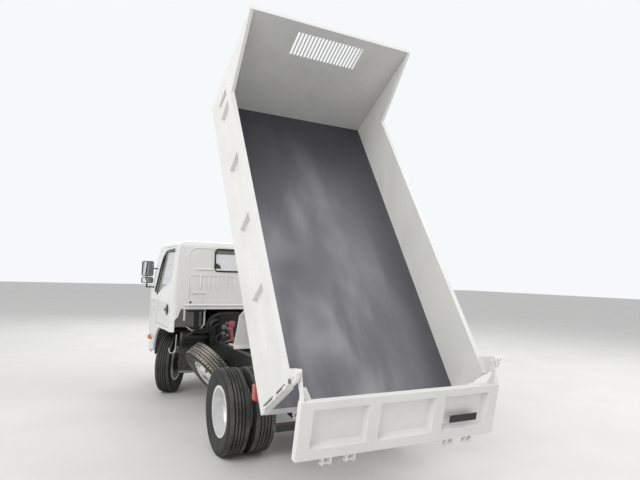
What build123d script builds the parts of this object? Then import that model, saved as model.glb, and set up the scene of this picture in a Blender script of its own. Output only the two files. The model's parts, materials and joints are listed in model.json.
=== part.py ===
from build123d import *
import math
import os

# Two-tonne cab-over dump truck, standing with its bed raised and its tailgate hanging open.
# Millimetres. The chassis frame has its zero on the ground below the rear axle, +Y forward,
# +X to the vehicle's right and +Z up. The bed frame has its zero on the bed's hinge, with
# +Y forward along the bed's floor and +Z up out of the floor.

# Wheels and axles
wheelbase = 2530.0
front_track = 1400.0
rear_track = 1240.0
twin_spacing = 228.0
tyre_diameter = 738.0
tyre_width = 196.0
tread_height = 24.0
bead_radius = 206.0
rim_half_width = 72.0
rim_flange_height = 14.5
rim_wall = 6.0
rim_seat_wall = 10.0
disc_thickness = 9.0
disc_flat_radius = 150.0
disc_bore_radius = 55.0
hand_hole_diameter = 40.0
hand_hole_circle = 172.0
hand_hole_count = 8
front_disc_offset = 100.0
kingpin_x = 570.0
kingpin_diameter = 24.0
boss_half_height = 44.0
knuckle_plate_x = 628.0
steered_right = 30.0
brake_drum_wall = 12.0
running_clearance = 0.3
moving_clearance = 6.0

# Chassis
rail_half_span = 350.0
rail_top = 665.0
rail_height = 150.0
rail_flange = 60.0
rail_wall = 6.0
rail_rear_y = -965.0
rail_behind_front = 145.0
member_width = 60.0
subframe_height = 80.0
subframe_width = 60.0
subframe_behind_engine = 140.0
spring_width = 60.0
leaf_thickness = 9.0

# Engine, gearbox and radiator
engine_behind_cab = 80.0
engine_length = 660.0
engine_half_width = 240.0
engine_top = 1060.0
gearbox_length = 780.0
shaft_z = 560.0
shaft_radius = 38.0
radiator_gap = 200.0
radiator_thickness = 70.0

# Bed
hinge_y = -950.0
hinge_z = 809.0
hinge_pin_diameter = 30.0
hinge_ear_radius = 42.0
hinge_ear_thickness = 12.0
bed_angle = 58.0
floor_top = 110.0
floor_thickness = 5.0
cross_member_depth = 80.0
cross_member_width = 50.0
sill_gap = 2.0
sill_bottom = -58.0
bed_half_width = 800.0
bed_wall_depth = 42.0
bed_rear_u = -240.0
headboard_u = 2780.0
headboard_thickness = 50.0
headboard_skin = 8.0
headboard_height = 1060.0
headboard_rail = 70.0
headboard_post = 90.0
headboard_overhang = 30.0
side_height = 385.0
side_skin = 8.0
side_rail_height = 90.0
side_sill_top = 76.0
side_skirt = 114.0
stake_spacing = 643.0
stake_first_u = 612.0
stake_count = 4
stake_width = 110.0
stake_taper = 20.0
gusset_length = 262.0
slot_count = 20
slot_pitch = 35.0
slot_width = 23.0
slot_length = 238.0
slot_below_top = 90.0
guard_thickness = 6.0

# Tailgate, measured from its top pins
gate_pin_u = -200.0
gate_pin_w = 613.0
gate_pin_outset = 15.0
gate_pin_diameter = 24.0
gate_ear_radius = 42.0
gate_inner_offset = 45.0
gate_thickness = 50.0
gate_skin = 8.0
gate_top_drop = 141.0
gate_height = 372.0
gate_overlap = 12.0
gate_rail = 50.0
gate_sill = 67.0
gate_shelf = 30.0
gate_stile = 90.0
gate_rib_width = 90.0
gate_rib_flare = 22.0
gate_rib_x = 270.0
gate_arm_thickness = 14.0
gate_lug_centres = (410.0, 585.0)
gate_lug_reach = 55.0
gate_lug_thickness = 10.0
gate_lug_half_gap = 22.0

# Towing eyes under the front bumper
tow_eye_z = 372.0
tow_eye_radius = 18.0
tow_eye_thickness = 20.0

# Hoist
hoist_base_y = -600.0
hoist_base_z = 540.0
hoist_eye_u = 1100.0
hoist_eye_w = -25.0
hoist_eye_half_width = 42.0
hoist_gland_reach = 95.0
hoist_pin_diameter = 40.0
barrel_diameter = 125.0
rod_diameter = 80.0

# Cab, placed over the front axle
cab_behind_axle = 550.0
cab_length = 1605.0
cab_half_width = 845.0
cab_tumblehome = 80.0
cab_roof_z = 1968.0
cab_skirt_z = 835.0
cab_front_skirt_z = 480.0
cab_nose_z = 650.0
cab_nose_length = 265.0
cab_wall = 48.0
cab_belt_z = 1180.0
screen_rake = 375.0
cab_tunnel_z = 1130.0
cab_floor_z = 865.0
cab_footwell_z = 715.0
cab_sheet = 15.0
tunnel_half_width = 350.0
seat_riser_length = 500.0
footwell_start = 1030.0
arch_radius = 470.0
arch_lip = 24.0
arch_lip_depth = 12.0
panel_recess = 6.0
pillar_sheet = 12.0
hanger_post_width = 20.0

# Doors and windows
door_gap = 6.0
door_skin_depth = 20.0
door_setback = 12.0
grip_depth = 23.0
door_rear_post = 140.0
door_length = 1060.0
door_bottom_z = 880.0
door_step_z = 570.0
door_top_z = 1895.0
window_sill_z = 1210.0
window_sill_rise = 260.0
hinge_radius = 7.0
hinge_heights = (690.0, 1080.0)
tilt_pivot_setback = 80.0
tilt_pivot_z = 600.0
tilt_pin_radius = 14.0
glass_inset = 14.0
glass_thickness = 5.0
rear_window_half_width = 322.0
rear_window_bottom_z = 1595.0
rear_window_top_z = 1874.0

# Spare wheel, leaning outward on the left between cab and rear axle
spare_x = -490.0
spare_behind_axle = 1230.0
spare_z = 455.0
spare_axis_rise = 38.0
spare_axis_yaw = 8.0

# Front bumper and front of the cab
bumper_bottom = 414.0
bumper_top = 560.0
bumper_wall = 30.0
bumper_depth = 255.0
bumper_inset = 15.0
bumper_corner = 110.0
grille_half_width = 420.0
grille_bottom = 850.0
grille_top = 990.0
grille_slats = 4
lamp_outer_inset = 150.0
lamp_width = 230.0
lamp_bottom = 668.0
lamp_top = 802.0

# Values worked out from the sizes above
tyre_radius = tyre_diameter / 2
axle_z = tyre_radius
rim_flange_radius = bead_radius + rim_flange_height
rail_bottom = rail_top - rail_height
subframe_top = rail_top + subframe_height
headboard_outer_u = headboard_u + headboard_thickness
headboard_top = floor_top + headboard_height
bed_outer_x = bed_half_width + bed_wall_depth
side_top = floor_top + side_height
skirt_bottom = floor_top - side_skirt
member_top = floor_top - floor_thickness
member_bottom = member_top - cross_member_depth
sill_outer_x = rail_half_span - sill_gap
sill_inner_x = rail_half_span - subframe_width + sill_gap
gate_pin_x = bed_half_width + gate_pin_outset
gate_half_width = bed_half_width + gate_overlap
gate_bottom = -(gate_top_drop + gate_height)
twin_centres = (rear_track / 2 - twin_spacing / 2, rear_track / 2 + twin_spacing / 2)
cab_rear_y = wheelbase - cab_behind_axle
cab_front_y = cab_rear_y + cab_length
cab_inner_x = cab_half_width - cab_wall
cab_roof_half_width = cab_half_width - cab_tumblehome
seat_riser_y = cab_rear_y + seat_riser_length
footwell_y = cab_rear_y + footwell_start
rail_front_y = cab_front_y - rail_behind_front
tow_eye_x = rail_half_span - 30
tow_eye_y = rail_front_y - 10
tilt_pivot_y = cab_front_y - tilt_pivot_setback
spare_y = wheelbase - spare_behind_axle
engine_rear_y = cab_rear_y - engine_behind_cab
engine_front_y = engine_rear_y + engine_length
subframe_front_y = engine_rear_y - subframe_behind_engine
gearbox_rear_y = engine_rear_y - gearbox_length
gearbox_member_y = gearbox_rear_y + 170
door_rear_y = cab_rear_y + door_rear_post
door_front_y = door_rear_y + door_length
door_pivot_x = cab_half_width + hinge_radius
door_pivot_y = door_front_y + door_gap / 2
member_stations = (rail_rear_y + 85, 60, 700, wheelbase + 80, rail_front_y - 60)
subframe_stations = (hinge_y + 190, 500, 1100, subframe_front_y - 110)
cross_stations = (160, 366, 572, 970, 1230, 1500, 1770, 2040, 2310, 2580)
stake_stations = [stake_first_u + stake_spacing * step for step in range(stake_count)]
far = 2 * cab_front_y

pieces = []
bed_location = Location((0, hinge_y, hinge_z), (bed_angle, 0, 0))


def keep(builder, label, place=Location()):
    """Name a finished piece and note where its own frame stands in the chassis frame."""
    builder.part.label = label
    pieces.append((builder.part, label, place))


def bar(x0, x1, y0, y1, z0, z1, mode=Mode.ADD):
    """Add a straight bar between two opposite corners to the piece being built."""
    with Locations(((x0 + x1) / 2, (y0 + y1) / 2, (z0 + z1) / 2)):
        Box(abs(x1 - x0), abs(y1 - y0), abs(z1 - z0), mode=mode)


def side_plate(points, x0, x1, mode=Mode.ADD, rounding=0.0, grow=0.0):
    """Add a plate whose outline is given in (forward, up) points, from x0 across to x1."""
    with BuildSketch(Plane.YZ.offset(min(x0, x1))) as outline:
        with BuildLine():
            Polyline(*points, close=True)
        make_face()
        if grow:
            offset(amount=grow, kind=Kind.INTERSECTION, mode=Mode.REPLACE)
        if rounding:
            fillet(outline.vertices(), rounding + grow)
    extrude(outline.sketch, amount=abs(x1 - x0), mode=mode)


def front_plate(points, y0, y1, mode=Mode.ADD, rounding=0.0):
    """Add a plate whose outline is given in (across, up) points, from y0 forward to y1."""
    with BuildSketch(Plane.XZ.offset(-min(y0, y1))) as outline:
        with BuildLine():
            Polyline(*points, close=True)
        make_face()
        if rounding:
            fillet(outline.vertices(), rounding)
    extrude(outline.sketch, amount=-abs(y1 - y0), mode=mode)


def plan_plate(points, z0, z1, mode=Mode.ADD):
    """Add a plate whose outline is given in (across, forward) points, from z0 up to z1."""
    with BuildSketch(Plane.XY.offset(min(z0, z1))) as outline:
        with BuildLine():
            Polyline(*points, close=True)
        make_face()
    extrude(outline.sketch, amount=abs(z1 - z0), mode=mode)


def cross_pin(radius, x0, x1, y, z, mode=Mode.ADD):
    """Add a round pin along X, from x0 to x1, centred at y and z."""
    with Locations(Location(((x0 + x1) / 2, y, z), (0, 90, 0))):
        Cylinder(radius, abs(x1 - x0), mode=mode)


def long_tube(radius, x, y0, y1, z, mode=Mode.ADD):
    """Add a round bar along Y, from y0 to y1, centred at x and z."""
    with Locations(Location((x, (y0 + y1) / 2, z), (90, 0, 0))):
        Cylinder(radius, abs(y1 - y0), mode=mode)


def turned(points, y, z, mode=Mode.ADD):
    """Add the solid turned about an X axis through y and z from (along, radius) points."""
    with BuildSketch(Plane((0, y, z))) as section:
        with BuildLine():
            Polyline(*points, close=True)
        make_face()
    revolve(section.sketch, axis=Axis((0, y, z), (1, 0, 0)), mode=mode)


# Chassis rails: two channels with the cab's tilt pivots and the towing eyes on their ends
with BuildPart() as chassis_rails:
    for side in (-1, 1):
        outer = side * rail_half_span
        bar(outer, outer - side * rail_flange, rail_rear_y, rail_front_y, rail_bottom, rail_top)
        bar(outer - side * rail_wall, outer - side * rail_flange, rail_rear_y, rail_front_y,
            rail_bottom + rail_wall, rail_top - rail_wall, mode=Mode.SUBTRACT)
        side_plate([(rail_front_y - 90, rail_bottom + 15), (rail_front_y - 90, rail_top - 10),
                    (tilt_pivot_y, tilt_pivot_z + 26), (tilt_pivot_y + 26, tilt_pivot_z),
                    (tilt_pivot_y, tilt_pivot_z - 26)], outer, outer + side * 14)
        cross_pin(tilt_pin_radius, outer, outer + side * 44, tilt_pivot_y, tilt_pivot_z)
        x0 = side * tow_eye_x
        x1 = side * (tow_eye_x + tow_eye_thickness)
        side_plate([(tow_eye_y - 40, rail_bottom + 5), (tow_eye_y - 40, tow_eye_z + 98),
                    (tow_eye_y - 36, tow_eye_z), (tow_eye_y + 36, tow_eye_z),
                    (tow_eye_y + 36, tow_eye_z + 98), (tow_eye_y + 5, rail_bottom + 5)], x0, x1)
        cross_pin(2 * tow_eye_radius, x0, x1, tow_eye_y, tow_eye_z)
        cross_pin(tow_eye_radius, x0, x1, tow_eye_y, tow_eye_z, mode=Mode.SUBTRACT)
keep(chassis_rails, "chassis_rails")

# Cross members between the rails' webs, one of them carrying the hoist's lower pivot
member_half = rail_half_span - rail_wall
with BuildPart() as chassis_members:
    for station in member_stations:
        bar(-member_half, member_half, station - member_width / 2, station + member_width / 2,
            rail_bottom + 35, rail_top - 35)
    drop = rail_bottom + rail_wall
    front_plate([(-member_half, drop), (-member_half, drop + 30), (64 - member_half, drop + 30),
                 (96 - member_half, 450), (member_half - 96, 450), (member_half - 64, drop + 30),
                 (member_half, drop + 30), (member_half, drop), (member_half - 58, drop),
                 (member_half - 84, 400), (84 - member_half, 400), (58 - member_half, drop)],
                gearbox_member_y - 25, gearbox_member_y + 25)
    bar(-member_half, member_half, hoist_base_y - 105, hoist_base_y - 55,
        rail_bottom + rail_wall, rail_top - 60)
    for side in (-1, 1):
        side_plate([(hoist_base_y - 60, rail_bottom + 10), (hoist_base_y, hoist_base_z - 34),
                    (hoist_base_y + 32, hoist_base_z), (hoist_base_y, hoist_base_z + 34),
                    (hoist_base_y - 60, rail_top - 60)], side * 75, side * 93)
    cross_pin(hoist_pin_diameter / 2, -100, 100, hoist_base_y, hoist_base_z)
keep(chassis_members, "chassis_members")

# Hoist subframe on the rails, with the ears that carry the bed's hinge pins
with BuildPart() as subframe_rails:
    for side in (-1, 1):
        outer = side * rail_half_span
        bar(outer, outer - side * subframe_width, rail_rear_y, subframe_front_y,
            rail_top, subframe_top)
        for face in (rail_half_span, rail_half_span - subframe_width - hinge_ear_thickness):
            x0 = side * face
            x1 = side * (face + hinge_ear_thickness)
            side_plate([(hinge_y - 15, rail_top + 20), (hinge_y - 15, subframe_top),
                        (hinge_y - hinge_ear_radius, hinge_z), (hinge_y + hinge_ear_radius, hinge_z),
                        (hinge_y + 110, subframe_top), (hinge_y + 110, rail_top + 20)], x0, x1)
            cross_pin(hinge_ear_radius, x0, x1, hinge_y, hinge_z)
        cross_pin(hinge_pin_diameter / 2, side * (rail_half_span - subframe_width - 24),
                  side * (rail_half_span + 24), hinge_y, hinge_z)
keep(subframe_rails, "subframe_rails")

with BuildPart() as subframe_members:
    for station in subframe_stations:
        bar(subframe_width - rail_half_span, rail_half_span - subframe_width,
            station - member_width / 2, station + member_width / 2, rail_top + 40, subframe_top - 5)
keep(subframe_members, "subframe_members")

# Engine and gearbox under the cab, radiator ahead of them
with BuildPart() as engine_block:
    half = engine_half_width
    front_plate([(90 - half, 430), (half - 90, 430), (half - 70, shaft_z), (half, 640),
                 (half, engine_top - 60), (half - 70, engine_top), (70 - half, engine_top),
                 (-half, engine_top - 60), (-half, 640), (70 - half, shaft_z)],
                engine_rear_y, engine_front_y)
keep(engine_block, "engine_block")

with BuildPart() as gearbox:
    for y, radius in ((engine_rear_y, 165), (gearbox_rear_y, 80)):
        with BuildSketch(Plane.XZ.offset(-y)):
            with Locations((0, shaft_z)):
                Circle(radius)
    loft()
keep(gearbox, "gearbox")

with BuildPart() as radiator:
    radiator_y = engine_front_y + radiator_gap
    bar(-290, 290, radiator_y, radiator_y + radiator_thickness, rail_bottom + 60, 1080)
    long_tube(230, 0, radiator_y - 100, radiator_y, 800)
keep(radiator, "radiator")

# Front axle beam with its kingpin bosses: half its outline, from the middle out
axle_outline = ((-105, 355), (-40, 430), (-30, kingpin_x), (30, kingpin_x), (35, 430), (-35, 355))
with BuildPart() as front_axle:
    right_half = [(x, axle_z + height) for height, x in axle_outline]
    left_half = [(-x, axle_z + height) for height, x in reversed(axle_outline)]
    front_plate(right_half + left_half, wheelbase - 35, wheelbase + 35)
    for side in (-1, 1):
        with Locations((side * kingpin_x, wheelbase, axle_z)):
            Cylinder(30, 2 * boss_half_height)
            Cylinder(kingpin_diameter / 2 + running_clearance, 3 * boss_half_height,
                     mode=Mode.SUBTRACT)
keep(front_axle, "front_axle")

spring_outer = rail_half_span - 3


def leaf_spring(axle_y, seat_z, half_length, leaves, eye_z):
    """Add one pair of leaf springs with their eyes, hangers and axle clamp."""
    top = seat_z + leaf_thickness * leaves
    rise = eye_z - top
    radius = (half_length ** 2 + rise ** 2) / (2 * rise)
    for side in (-1, 1):
        x0 = side * (spring_outer - spring_width)
        x1 = side * spring_outer
        for leaf in range(leaves):
            reach = half_length * (1 - leaf * 0.8 / leaves)
            with BuildSketch(Plane.YZ.offset(min(x0, x1))) as leaf_side:
                with Locations((axle_y, top + radius)):
                    Circle(radius + leaf_thickness * (leaf + 1))
                    Circle(radius, mode=Mode.SUBTRACT)
                with Locations((axle_y, top)):
                    Rectangle(2 * reach, 2 * (rise + leaf_thickness * leaves), mode=Mode.INTERSECT)
            extrude(leaf_side.sketch, amount=spring_width)
        for end in (-1, 1):
            y = axle_y + end * half_length
            cross_pin(20, x0, x1, y, eye_z)
            side_plate([(y - 22, eye_z), (y + 22, eye_z), (y + 40, rail_bottom),
                        (y - 40, rail_bottom)], x0, x1)
        bar(x0 - side * 4, x1, axle_y - 45, axle_y + 45, seat_z, top + 14)


with BuildPart() as leaf_springs:
    leaf_spring(wheelbase, axle_z - 35, 560, 4, rail_bottom - 60)
    leaf_spring(0, axle_z + 62, 600, 5, rail_bottom - 25)
keep(leaf_springs, "leaf_springs")

# Rear axle: tapered beam, banjo housing and brake plates
rear_plate_x = twin_centres[0] - 92
with BuildPart() as rear_axle:
    for side in (-1, 1):
        turned([(0, 0), (side * rear_plate_x, 0), (side * rear_plate_x, 52),
                (side * 180, 62), (0, 100)], 0, axle_z)
        cross_pin(145, side * (rear_plate_x - 6), side * rear_plate_x, 0, axle_z)
        cross_pin(30, side * rear_plate_x, side * (rear_track / 2 + 60), 0, axle_z)
    long_tube(158, 0, -75, 75, axle_z)
    for y, radius in ((75, 120), (260, 55)):
        with BuildSketch(Plane.XZ.offset(-y)):
            with Locations((0, axle_z)):
                Circle(radius)
    loft()
keep(rear_axle, "rear_axle")

with BuildPart() as propeller_shaft:
    shaft_start = Vector(0, 272, axle_z)
    shaft_end = Vector(0, gearbox_rear_y - 12, shaft_z)
    long_tube(52, 0, 260 + running_clearance, 280, axle_z)
    long_tube(52, 0, gearbox_rear_y - 20, gearbox_rear_y - running_clearance, shaft_z)
    run = shaft_end - shaft_start
    with Locations(Plane(shaft_start, z_dir=run).location):
        Cylinder(shaft_radius, run.length, align=(Align.CENTER, Align.CENTER, Align.MIN))
keep(propeller_shaft, "propeller_shaft")

# Knuckles that steer the front wheels, which stand turned to the right
def steered(side):
    """Place a piece drawn straight ahead, turned about its side's kingpin."""
    kingpin = Location((side * kingpin_x, wheelbase, 0))
    return kingpin * Location((0, 0, 0), (0, 0, -steered_right)) * kingpin.inverse()


for side, word in ((-1, "left"), (1, "right")):
    with BuildPart() as knuckle:
        for end in (-1, 1):
            z0 = axle_z + end * (boss_half_height + 1)
            z1 = axle_z + end * (boss_half_height + 25)
            bar(side * kingpin_x, side * knuckle_plate_x, wheelbase - 28, wheelbase + 28, z0, z1)
            with Locations((side * kingpin_x, wheelbase, (z0 + z1) / 2)):
                Cylinder(28, 24)
        bar(side * (kingpin_x + 38), side * knuckle_plate_x, wheelbase - 40, wheelbase + 40,
            axle_z - boss_half_height - 25, axle_z + boss_half_height + 25)
        cross_pin(132, side * (knuckle_plate_x - 6), side * knuckle_plate_x, wheelbase, axle_z)
        cross_pin(25, side * knuckle_plate_x, side * (front_track / 2 + 100), wheelbase, axle_z)
        with Locations((side * kingpin_x, wheelbase, axle_z)):
            Cylinder(kingpin_diameter / 2, 2 * (boss_half_height + 25))
        side_plate([(wheelbase - 170, axle_z - 70), (wheelbase - 20, axle_z - 70),
                    (wheelbase - 20, axle_z - 50), (wheelbase - 170, axle_z - 50)],
                   side * (kingpin_x - 15), side * (kingpin_x + 15))
    keep(knuckle, f"knuckle_{word}", steered(side))


# Wheels
def tyre_ring(centre_x, y):
    """Add one tyre: bead, bulging two-part sidewalls, sloped shoulders and a flat crown."""
    half = tyre_width / 2
    bead_half = rim_half_width - rim_wall
    bulge_radius = (rim_flange_radius + tyre_radius) / 2
    half_section = [(bead_half, bead_radius), (bead_half, rim_flange_radius + 4),
                    (half, bulge_radius), (half - 6, tyre_radius - tread_height),
                    (half - 20, tyre_radius)]
    mirrored = [(-x, radius) for x, radius in reversed(half_section)]
    turned([(centre_x + x, radius) for x, radius in half_section + mirrored], y, axle_z)


def rim_ring(centre_x, y, face):
    """Add one steel rim and its dished disc, whose flat face lies at centre_x + face."""
    seat = bead_radius - running_clearance
    inside = seat - rim_seat_wall
    edge = rim_half_width
    lip = edge - rim_wall + running_clearance
    turned([(centre_x - edge, inside), (centre_x + edge, inside),
            (centre_x + edge, rim_flange_radius), (centre_x + lip, rim_flange_radius),
            (centre_x + lip, seat), (centre_x - lip, seat), (centre_x - lip, rim_flange_radius),
            (centre_x - edge, rim_flange_radius)], y, axle_z)
    way = math.copysign(1, face)
    thick = way * disc_thickness
    dish = centre_x + face
    start = centre_x + way * 30
    turned([(dish, disc_bore_radius), (dish, disc_flat_radius), (start, inside + 4),
            (start - thick, inside + 4), (dish - thick, disc_flat_radius),
            (dish - thick, disc_bore_radius)], y, axle_z)
    with Locations(Location(((start + dish) / 2, y, axle_z), (0, 90, 0))):
        with PolarLocations(hand_hole_circle, hand_hole_count):
            Cylinder(hand_hole_diameter / 2, abs(dish - start) + 2 * disc_thickness,
                     mode=Mode.SUBTRACT)


for side, word in ((-1, "left"), (1, "right")):
    centre = side * front_track / 2
    with BuildPart() as tyre_front:
        tyre_ring(centre, wheelbase)
    keep(tyre_front, f"tyre_front_{word}", steered(side))

    with BuildPart() as rim_front:
        rim_ring(centre, wheelbase, side * front_disc_offset)
        drum_start = side * (knuckle_plate_x + 4)
        face = centre + side * (front_disc_offset - disc_thickness)
        bore = 25 + running_clearance
        turned([(drum_start, 118), (face - side * 30, 118), (face - side * 30, bore),
                (face + side * 40, bore), (face + side * 40, 52), (face, 70),
                (face - side * 18, 118 + brake_drum_wall), (drum_start, 118 + brake_drum_wall)],
               wheelbase, axle_z)
        turned([(face + side * 39, 0), (face + side * 48, 0), (face + side * 48, 44),
                (face + side * 39, 52)], wheelbase, axle_z)
    keep(rim_front, f"rim_front_{word}", steered(side))

    with BuildPart() as tyres_rear:
        for centre in twin_centres:
            tyre_ring(side * centre, 0)
    keep(tyres_rear, f"tyres_rear_{word}")

    with BuildPart() as rims_rear:
        rim_ring(side * twin_centres[0], 0, side * twin_spacing / 2)
        rim_ring(side * twin_centres[1], 0, -side * twin_spacing / 2)
        middle = side * rear_track / 2
        drum_start = side * (rear_plate_x + 4)
        bore = 30 + running_clearance
        turned([(drum_start, 138), (middle - side * 40, 138), (middle - side * 40, bore),
                (middle + side * 70, bore), (middle + side * 70, 62), (middle - side * 5, 70),
                (middle - side * 20, 138 + brake_drum_wall), (drum_start, 138 + brake_drum_wall)],
               0, axle_z)
        turned([(middle + side * 69, 0), (middle + side * 82, 0), (middle + side * 82, 50),
                (middle + side * 69, 62)], 0, axle_z)
    keep(rims_rear, f"rims_rear_{word}")

spare_location = (Location((spare_x, spare_y, spare_z), (0, 0, spare_axis_yaw))
                  * Location((0, 0, 0), (0, -spare_axis_rise, 0)))
with BuildPart() as spare_tyre:
    tyre_ring(0, 0)
keep(spare_tyre, "spare_tyre", spare_location * Location((0, 0, -axle_z)))

with BuildPart() as spare_rim:
    rim_ring(0, 0, -front_disc_offset)
keep(spare_rim, "spare_rim", spare_location * Location((0, 0, -axle_z)))

with BuildPart() as spare_carrier:
    with Locations(spare_location * Location((0, 0, 0), (0, 90, 0))):
        with Locations((0, 0, -front_disc_offset + disc_thickness + running_clearance)):
            Cylinder(26, 235, align=(Align.CENTER, Align.CENTER, Align.MIN))
            Cylinder(80, 12, align=(Align.CENTER, Align.CENTER, Align.MIN))
    bar(spare_x + 60, -rail_half_span - running_clearance, spare_y - 24, spare_y + 56, 520, 600)
keep(spare_carrier, "spare_carrier")

# Tanks, battery box and silencer, each hung from the nearer rail by its own bracket
hanger_x = rail_half_span + running_clearance
battery_y = tyre_radius + 251
tank_rear_y = battery_y + 460
tank_front_y = engine_rear_y - 280
with BuildPart() as fuel_tank:
    side_plate([(tank_rear_y, 300), (tank_front_y, 300), (tank_front_y, 640),
                (tank_rear_y, 640)], 395, 720, rounding=50)
    for station in (tank_rear_y + 90, tank_front_y - 90):
        bar(hanger_x, 400, station - 20, station + 20, rail_bottom + 10, rail_top - 30)
        side_plate([(station - 20, 297), (station + 20, 297), (station + 20, 643),
                    (station - 20, 643)], 392, 723)
keep(fuel_tank, "fuel_tank")

with BuildPart() as battery_box:
    bar(385, 640, battery_y, battery_y + 320, 380, 600)
    bar(377, 648, battery_y - 8, battery_y + 328, 600, 640)
    bar(hanger_x, 386, battery_y + 40, battery_y + 280, rail_bottom + 10, rail_top - 30)
keep(battery_box, "battery_box")

vacuum_rear_y = tyre_radius + 80
vacuum_front_y = spare_y - tyre_radius - 90
vacuum_y = (vacuum_rear_y + vacuum_front_y) / 2
with BuildPart() as vacuum_tank:
    long_tube(100, -520, vacuum_rear_y, vacuum_front_y, 470)
    for station in (vacuum_rear_y + 45, vacuum_front_y - 45):
        long_tube(103, -520, station - 15, station + 15, 470)
    bar(-500, -hanger_x, vacuum_y - 20, vacuum_y + 20, rail_bottom + 10, rail_bottom + 60)
keep(vacuum_tank, "vacuum_tank")

silencer_y = engine_rear_y - 50
with BuildPart() as exhaust_silencer:
    long_tube(90, 500, silencer_y - 200, silencer_y + 200, 480)
    bar(hanger_x, 480, silencer_y - 20, silencer_y + 20, rail_bottom + 10, rail_bottom + 60)
keep(exhaust_silencer, "exhaust_silencer")

# Air cleaner across the left rail, with its arched hose to the engine's side
intake_y = engine_rear_y + 110
intake_z = 760.0
with BuildPart() as intake_duct:
    cross_pin(75, -700, -420, intake_y, intake_z)
    bar(-440, -hanger_x, intake_y - 20, intake_y + 20, 600, 695)
    with BuildSketch(Plane((-425, intake_y, intake_z), z_dir=(1, 0, 0))) as mouth:
        Circle(38)
    with BuildLine(Plane.XZ.offset(-intake_y)) as route:
        FilletPolyline((-425, intake_z), (-330, intake_z), (-330, intake_z + 200),
                       (-engine_half_width - running_clearance, intake_z + 200), radius=55)
    sweep(mouth.sketch, path=route.line)
keep(intake_duct, "intake_duct")

# Rear cab mount: a stand on each rail, cranked out round the engine
mount_top = cab_tunnel_z - cab_sheet - running_clearance
with BuildPart() as cab_mount:
    for side in (-1, 1):
        y0 = engine_rear_y - 10
        y1 = engine_rear_y + 50
        for x0, x1, z0, z1 in ((300, rail_half_span, rail_top, 860), (300, 560, 830, 880),
                               (520, 570, 830, 1100)):
            bar(side * x0, side * x1, y0, y1, z0, z1)
        bar(side * 450, side * 660, y0, engine_rear_y + 120, 1090, mount_top)
keep(cab_mount, "cab_mount")

# Front bumper: a deep pressed blade turned round both corners, open behind
bumper_half_width = cab_half_width - bumper_inset
with BuildPart() as front_bumper:
    for wall, mode in ((0, Mode.ADD), (bumper_wall, Mode.SUBTRACT)):
        with BuildSketch(Plane.XY.offset(bumper_bottom)) as blade:
            with Locations((0, cab_front_y - bumper_depth / 2 - wall)):
                Rectangle(2 * (bumper_half_width - wall), bumper_depth)
            fillet(blade.vertices().group_by(Axis.Y)[-1], bumper_corner - wall)
        extrude(amount=bumper_top - bumper_bottom, mode=mode)
    for side in (-1, 1):
        bar(side * 290, side * 344, rail_front_y, cab_front_y - bumper_wall + 1,
            rail_bottom + 10, bumper_top - 10)
keep(front_bumper, "front_bumper")

# Rear underrun bar, tail lamps and their brackets
underrun_y = hinge_y - 50
with BuildPart() as rear_underrun:
    bar(-706, 706, underrun_y - 30, underrun_y + 30, 460, 508)
    for side in (-1, 1):
        side_plate([(underrun_y - 20, 480), (underrun_y + 30, 480), (underrun_y + 160, rail_bottom),
                    (underrun_y + 60, rail_bottom)], side * 300, side * 345)
keep(rear_underrun, "rear_underrun")

with BuildPart() as tail_lamps:
    for side in (-1, 1):
        front_plate([(side * 400, 612), (side * 730, 612), (side * 730, 722), (side * 400, 722)],
                    -700, -650, rounding=14)
        bar(side * hanger_x, side * 420, -660, -630, 600, 640)
keep(tail_lamps, "tail_lamps")


# Cab: walls, openings, doors, glass and fittings
def cab_block(inset, floor):
    """Add the cab's outer form, drawn in by an inset, and cut off below a floor height."""
    base = cab_front_skirt_z - 180
    with BuildSketch(Plane.YZ.offset(-cab_half_width - 10)) as side_view:
        with BuildLine():
            Polyline((cab_rear_y, base), (cab_rear_y, cab_roof_z),
                     (cab_front_y - screen_rake, cab_roof_z), (cab_front_y - 20, cab_belt_z),
                     (cab_front_y, cab_belt_z - 90), (cab_front_y, base), close=True)
        make_face()
        offset(amount=-inset, kind=Kind.INTERSECTION, mode=Mode.REPLACE)
        fillet(side_view.vertices().group_by(Axis.Y)[-1], 90 - inset)
    extrude(side_view.sketch, amount=2 * cab_half_width + 20)
    with BuildSketch(Plane.XZ.offset(-cab_rear_y + 10)) as front_view:
        with BuildLine():
            Polyline((-cab_half_width, base), (-cab_half_width, cab_belt_z),
                     (-cab_roof_half_width, cab_roof_z), (cab_roof_half_width, cab_roof_z),
                     (cab_half_width, cab_belt_z), (cab_half_width, base), close=True)
        make_face()
        offset(amount=-inset, kind=Kind.INTERSECTION, mode=Mode.REPLACE)
        fillet(front_view.vertices().group_by(Axis.Y)[-1], 90 - inset)
    extrude(front_view.sketch, amount=-(cab_front_y - cab_rear_y + 20), mode=Mode.INTERSECT)
    with BuildSketch(Plane.XY.offset(200)) as plan_view:
        with Locations((0, (cab_rear_y + cab_front_y) / 2)):
            Rectangle(2 * cab_half_width, cab_front_y - cab_rear_y)
        offset(amount=-inset, kind=Kind.INTERSECTION, mode=Mode.REPLACE)
        fillet(plan_view.vertices().group_by(Axis.Y)[-1], 160 - inset)
        fillet(plan_view.vertices().group_by(Axis.Y)[0], 70 - inset)
    extrude(plan_view.sketch, amount=cab_roof_z, mode=Mode.INTERSECT)
    bar(-far, far, 0, far, 0, floor, mode=Mode.SUBTRACT)


with BuildPart() as cab_cavity:
    cab_block(cab_wall, cab_footwell_z)
    bar(-far, far, 0, footwell_y, 0, cab_floor_z, mode=Mode.SUBTRACT)
    bar(-far, far, 0, seat_riser_y, 0, cab_tunnel_z, mode=Mode.SUBTRACT)
    bar(-tunnel_half_width, tunnel_half_width, 0, footwell_y, 0, cab_tunnel_z, mode=Mode.SUBTRACT)

with BuildPart() as cab_solid:
    cab_block(0, cab_front_skirt_z)

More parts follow.
